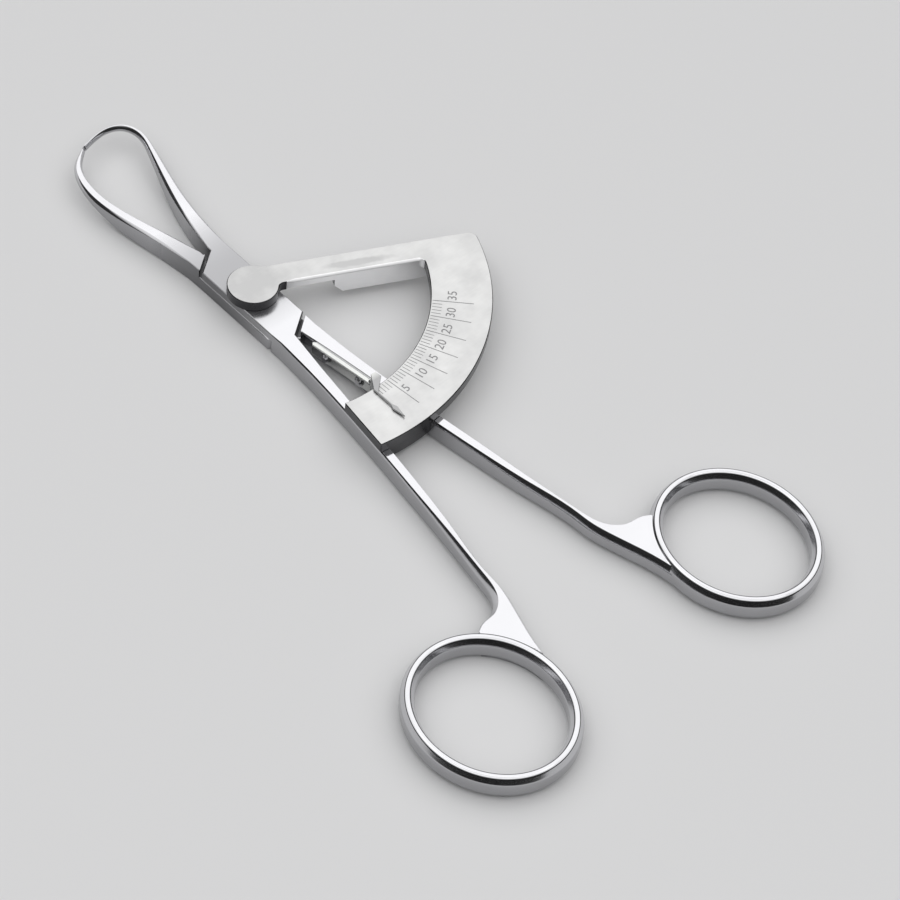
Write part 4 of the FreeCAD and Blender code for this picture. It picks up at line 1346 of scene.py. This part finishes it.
# %% World
VIEW_AZIMUTH = math.radians(131.88)
TENT = [(0.0, 0.03), (0.40, 0.04), (0.56, 0.97), (0.86, 1.0), (0.95, 0.28), (1.0, 0.22)]
TENT_STRENGTH = 1.42
TENT_SIDE = 0.78
TENT_FACING = 0.36
world = bpy.data.worlds.new("tent")
bpy.context.scene.world = world
world.use_nodes = True
world_tree = world.node_tree
direction = Flow(world_tree).make("TexCoord", output=0)
height = direction.make("SeparateXYZ", {}, {0: direction}, 2)
away = (-math.cos(VIEW_AZIMUTH), -math.sin(VIEW_AZIMUTH), 0)
facing = direction.make("VectorMath", {"operation": "DOT_PRODUCT"}, {0: direction, 1: away}, 1)
bands = direction.make("ValToRGB", {"stops": TENT}, {0: height})
side_glow = (TENT_SIDE + facing * TENT_FACING).tint((0, 0, 0), (1, 1, 1))
glow = direction.make("Mix", {"data_type": "RGBA", "blend_type": "MULTIPLY"},
                      {0: 1.0, 6: bands, 7: side_glow}, 2)
background = next(node for node in world_tree.nodes if node.type == "BACKGROUND")
world_tree.links.new(glow.socket, background.inputs["Color"])
background.inputs["Strength"].default_value = TENT_STRENGTH
print("tent of", len(TENT), "bands, strength", TENT_STRENGTH)

# %% [markdown]
# The floor is pale paper, a hair below the gauge. The one lamp is a wide disc overhead: a large
# lamp gives a soft shadow, and no flat face mirrors it as a white patch.

# %% Floor and key light
FLOOR_HALF = 3.0
FLOOR_LEVEL = -5e-5
KEY_PLACE = (-0.10, 0.10, 0.95)
KEY_AIM = (-0.03, 0, 0)
corners = ((-1, -1), (1, -1), (1, 1), (-1, 1))
floor_mesh = bpy.data.meshes.new("floor")
floor_mesh.from_pydata([(x * FLOOR_HALF, y * FLOOR_HALF, FLOOR_LEVEL) for x, y in corners], [],
                       [(0, 1, 2, 3)])
floor = link(bpy.data.objects.new("floor", floor_mesh))
floor_paper, floor_shader, _ = start_material("floor_paper")
feed(floor_shader, base_color=(0.69, 0.69, 0.695, 1), roughness=0.9)
floor_mesh.materials.append(floor_paper)

key = link(bpy.data.objects.new("key", bpy.data.lights.new("key", "AREA")))
key.data.shape = "DISK"
key.data.energy = 3.2
key.data.size = 1.2
key.location = KEY_PLACE
key.rotation_euler = (Vector(KEY_AIM) - Vector(KEY_PLACE)).to_track_quat("-Z", "Y").to_euler()
print("floor", 2 * FLOOR_HALF, "m wide, key light", key.data.energy, "W")

# %% [markdown]
# The camera's place was worked out from the photograph: the gauge's ovals, arcs and corners fix the
# direction, the distance and the tilt. A long lens keeps the lines almost parallel.

# %% Camera
VIEW_ELEVATION = math.radians(49.21)
VIEW_ROLL = math.radians(7.44)
VIEW_DISTANCE = 579.6
FOCAL_PIXELS = 3356.0
IMAGE_SIZE = 900
PIVOT_PIXEL = (251.5, 309.4)
back = Vector((math.cos(VIEW_AZIMUTH) * math.cos(VIEW_ELEVATION),
               math.sin(VIEW_AZIMUTH) * math.cos(VIEW_ELEVATION), math.sin(VIEW_ELEVATION)))
level = Vector((-math.sin(VIEW_AZIMUTH), math.cos(VIEW_AZIMUTH), 0))
upright = back.cross(level)
across = level * math.cos(VIEW_ROLL) + upright * math.sin(VIEW_ROLL)
upward = upright * math.cos(VIEW_ROLL) - level * math.sin(VIEW_ROLL)
shift_x = (IMAGE_SIZE / 2 - PIVOT_PIXEL[0]) / FOCAL_PIXELS * VIEW_DISTANCE
shift_y = (PIVOT_PIXEL[1] - IMAGE_SIZE / 2) / FOCAL_PIXELS * VIEW_DISTANCE
camera = link(bpy.data.objects.new("camera", bpy.data.cameras.new("camera")))
camera.data.sensor_width = 36.0
camera.data.lens = FOCAL_PIXELS / IMAGE_SIZE * camera.data.sensor_width
camera.data.clip_start = 0.01
camera.matrix_world = Matrix.Translation(
    (back * VIEW_DISTANCE + across * shift_x + upward * shift_y) * MM
) @ Matrix((across, upward, back)).transposed().to_4x4()
bpy.context.scene.camera = camera
bpy.context.scene.view_settings.view_transform = "Standard"
print("lens", round(camera.data.lens, 1), "mm at", VIEW_DISTANCE, "mm")
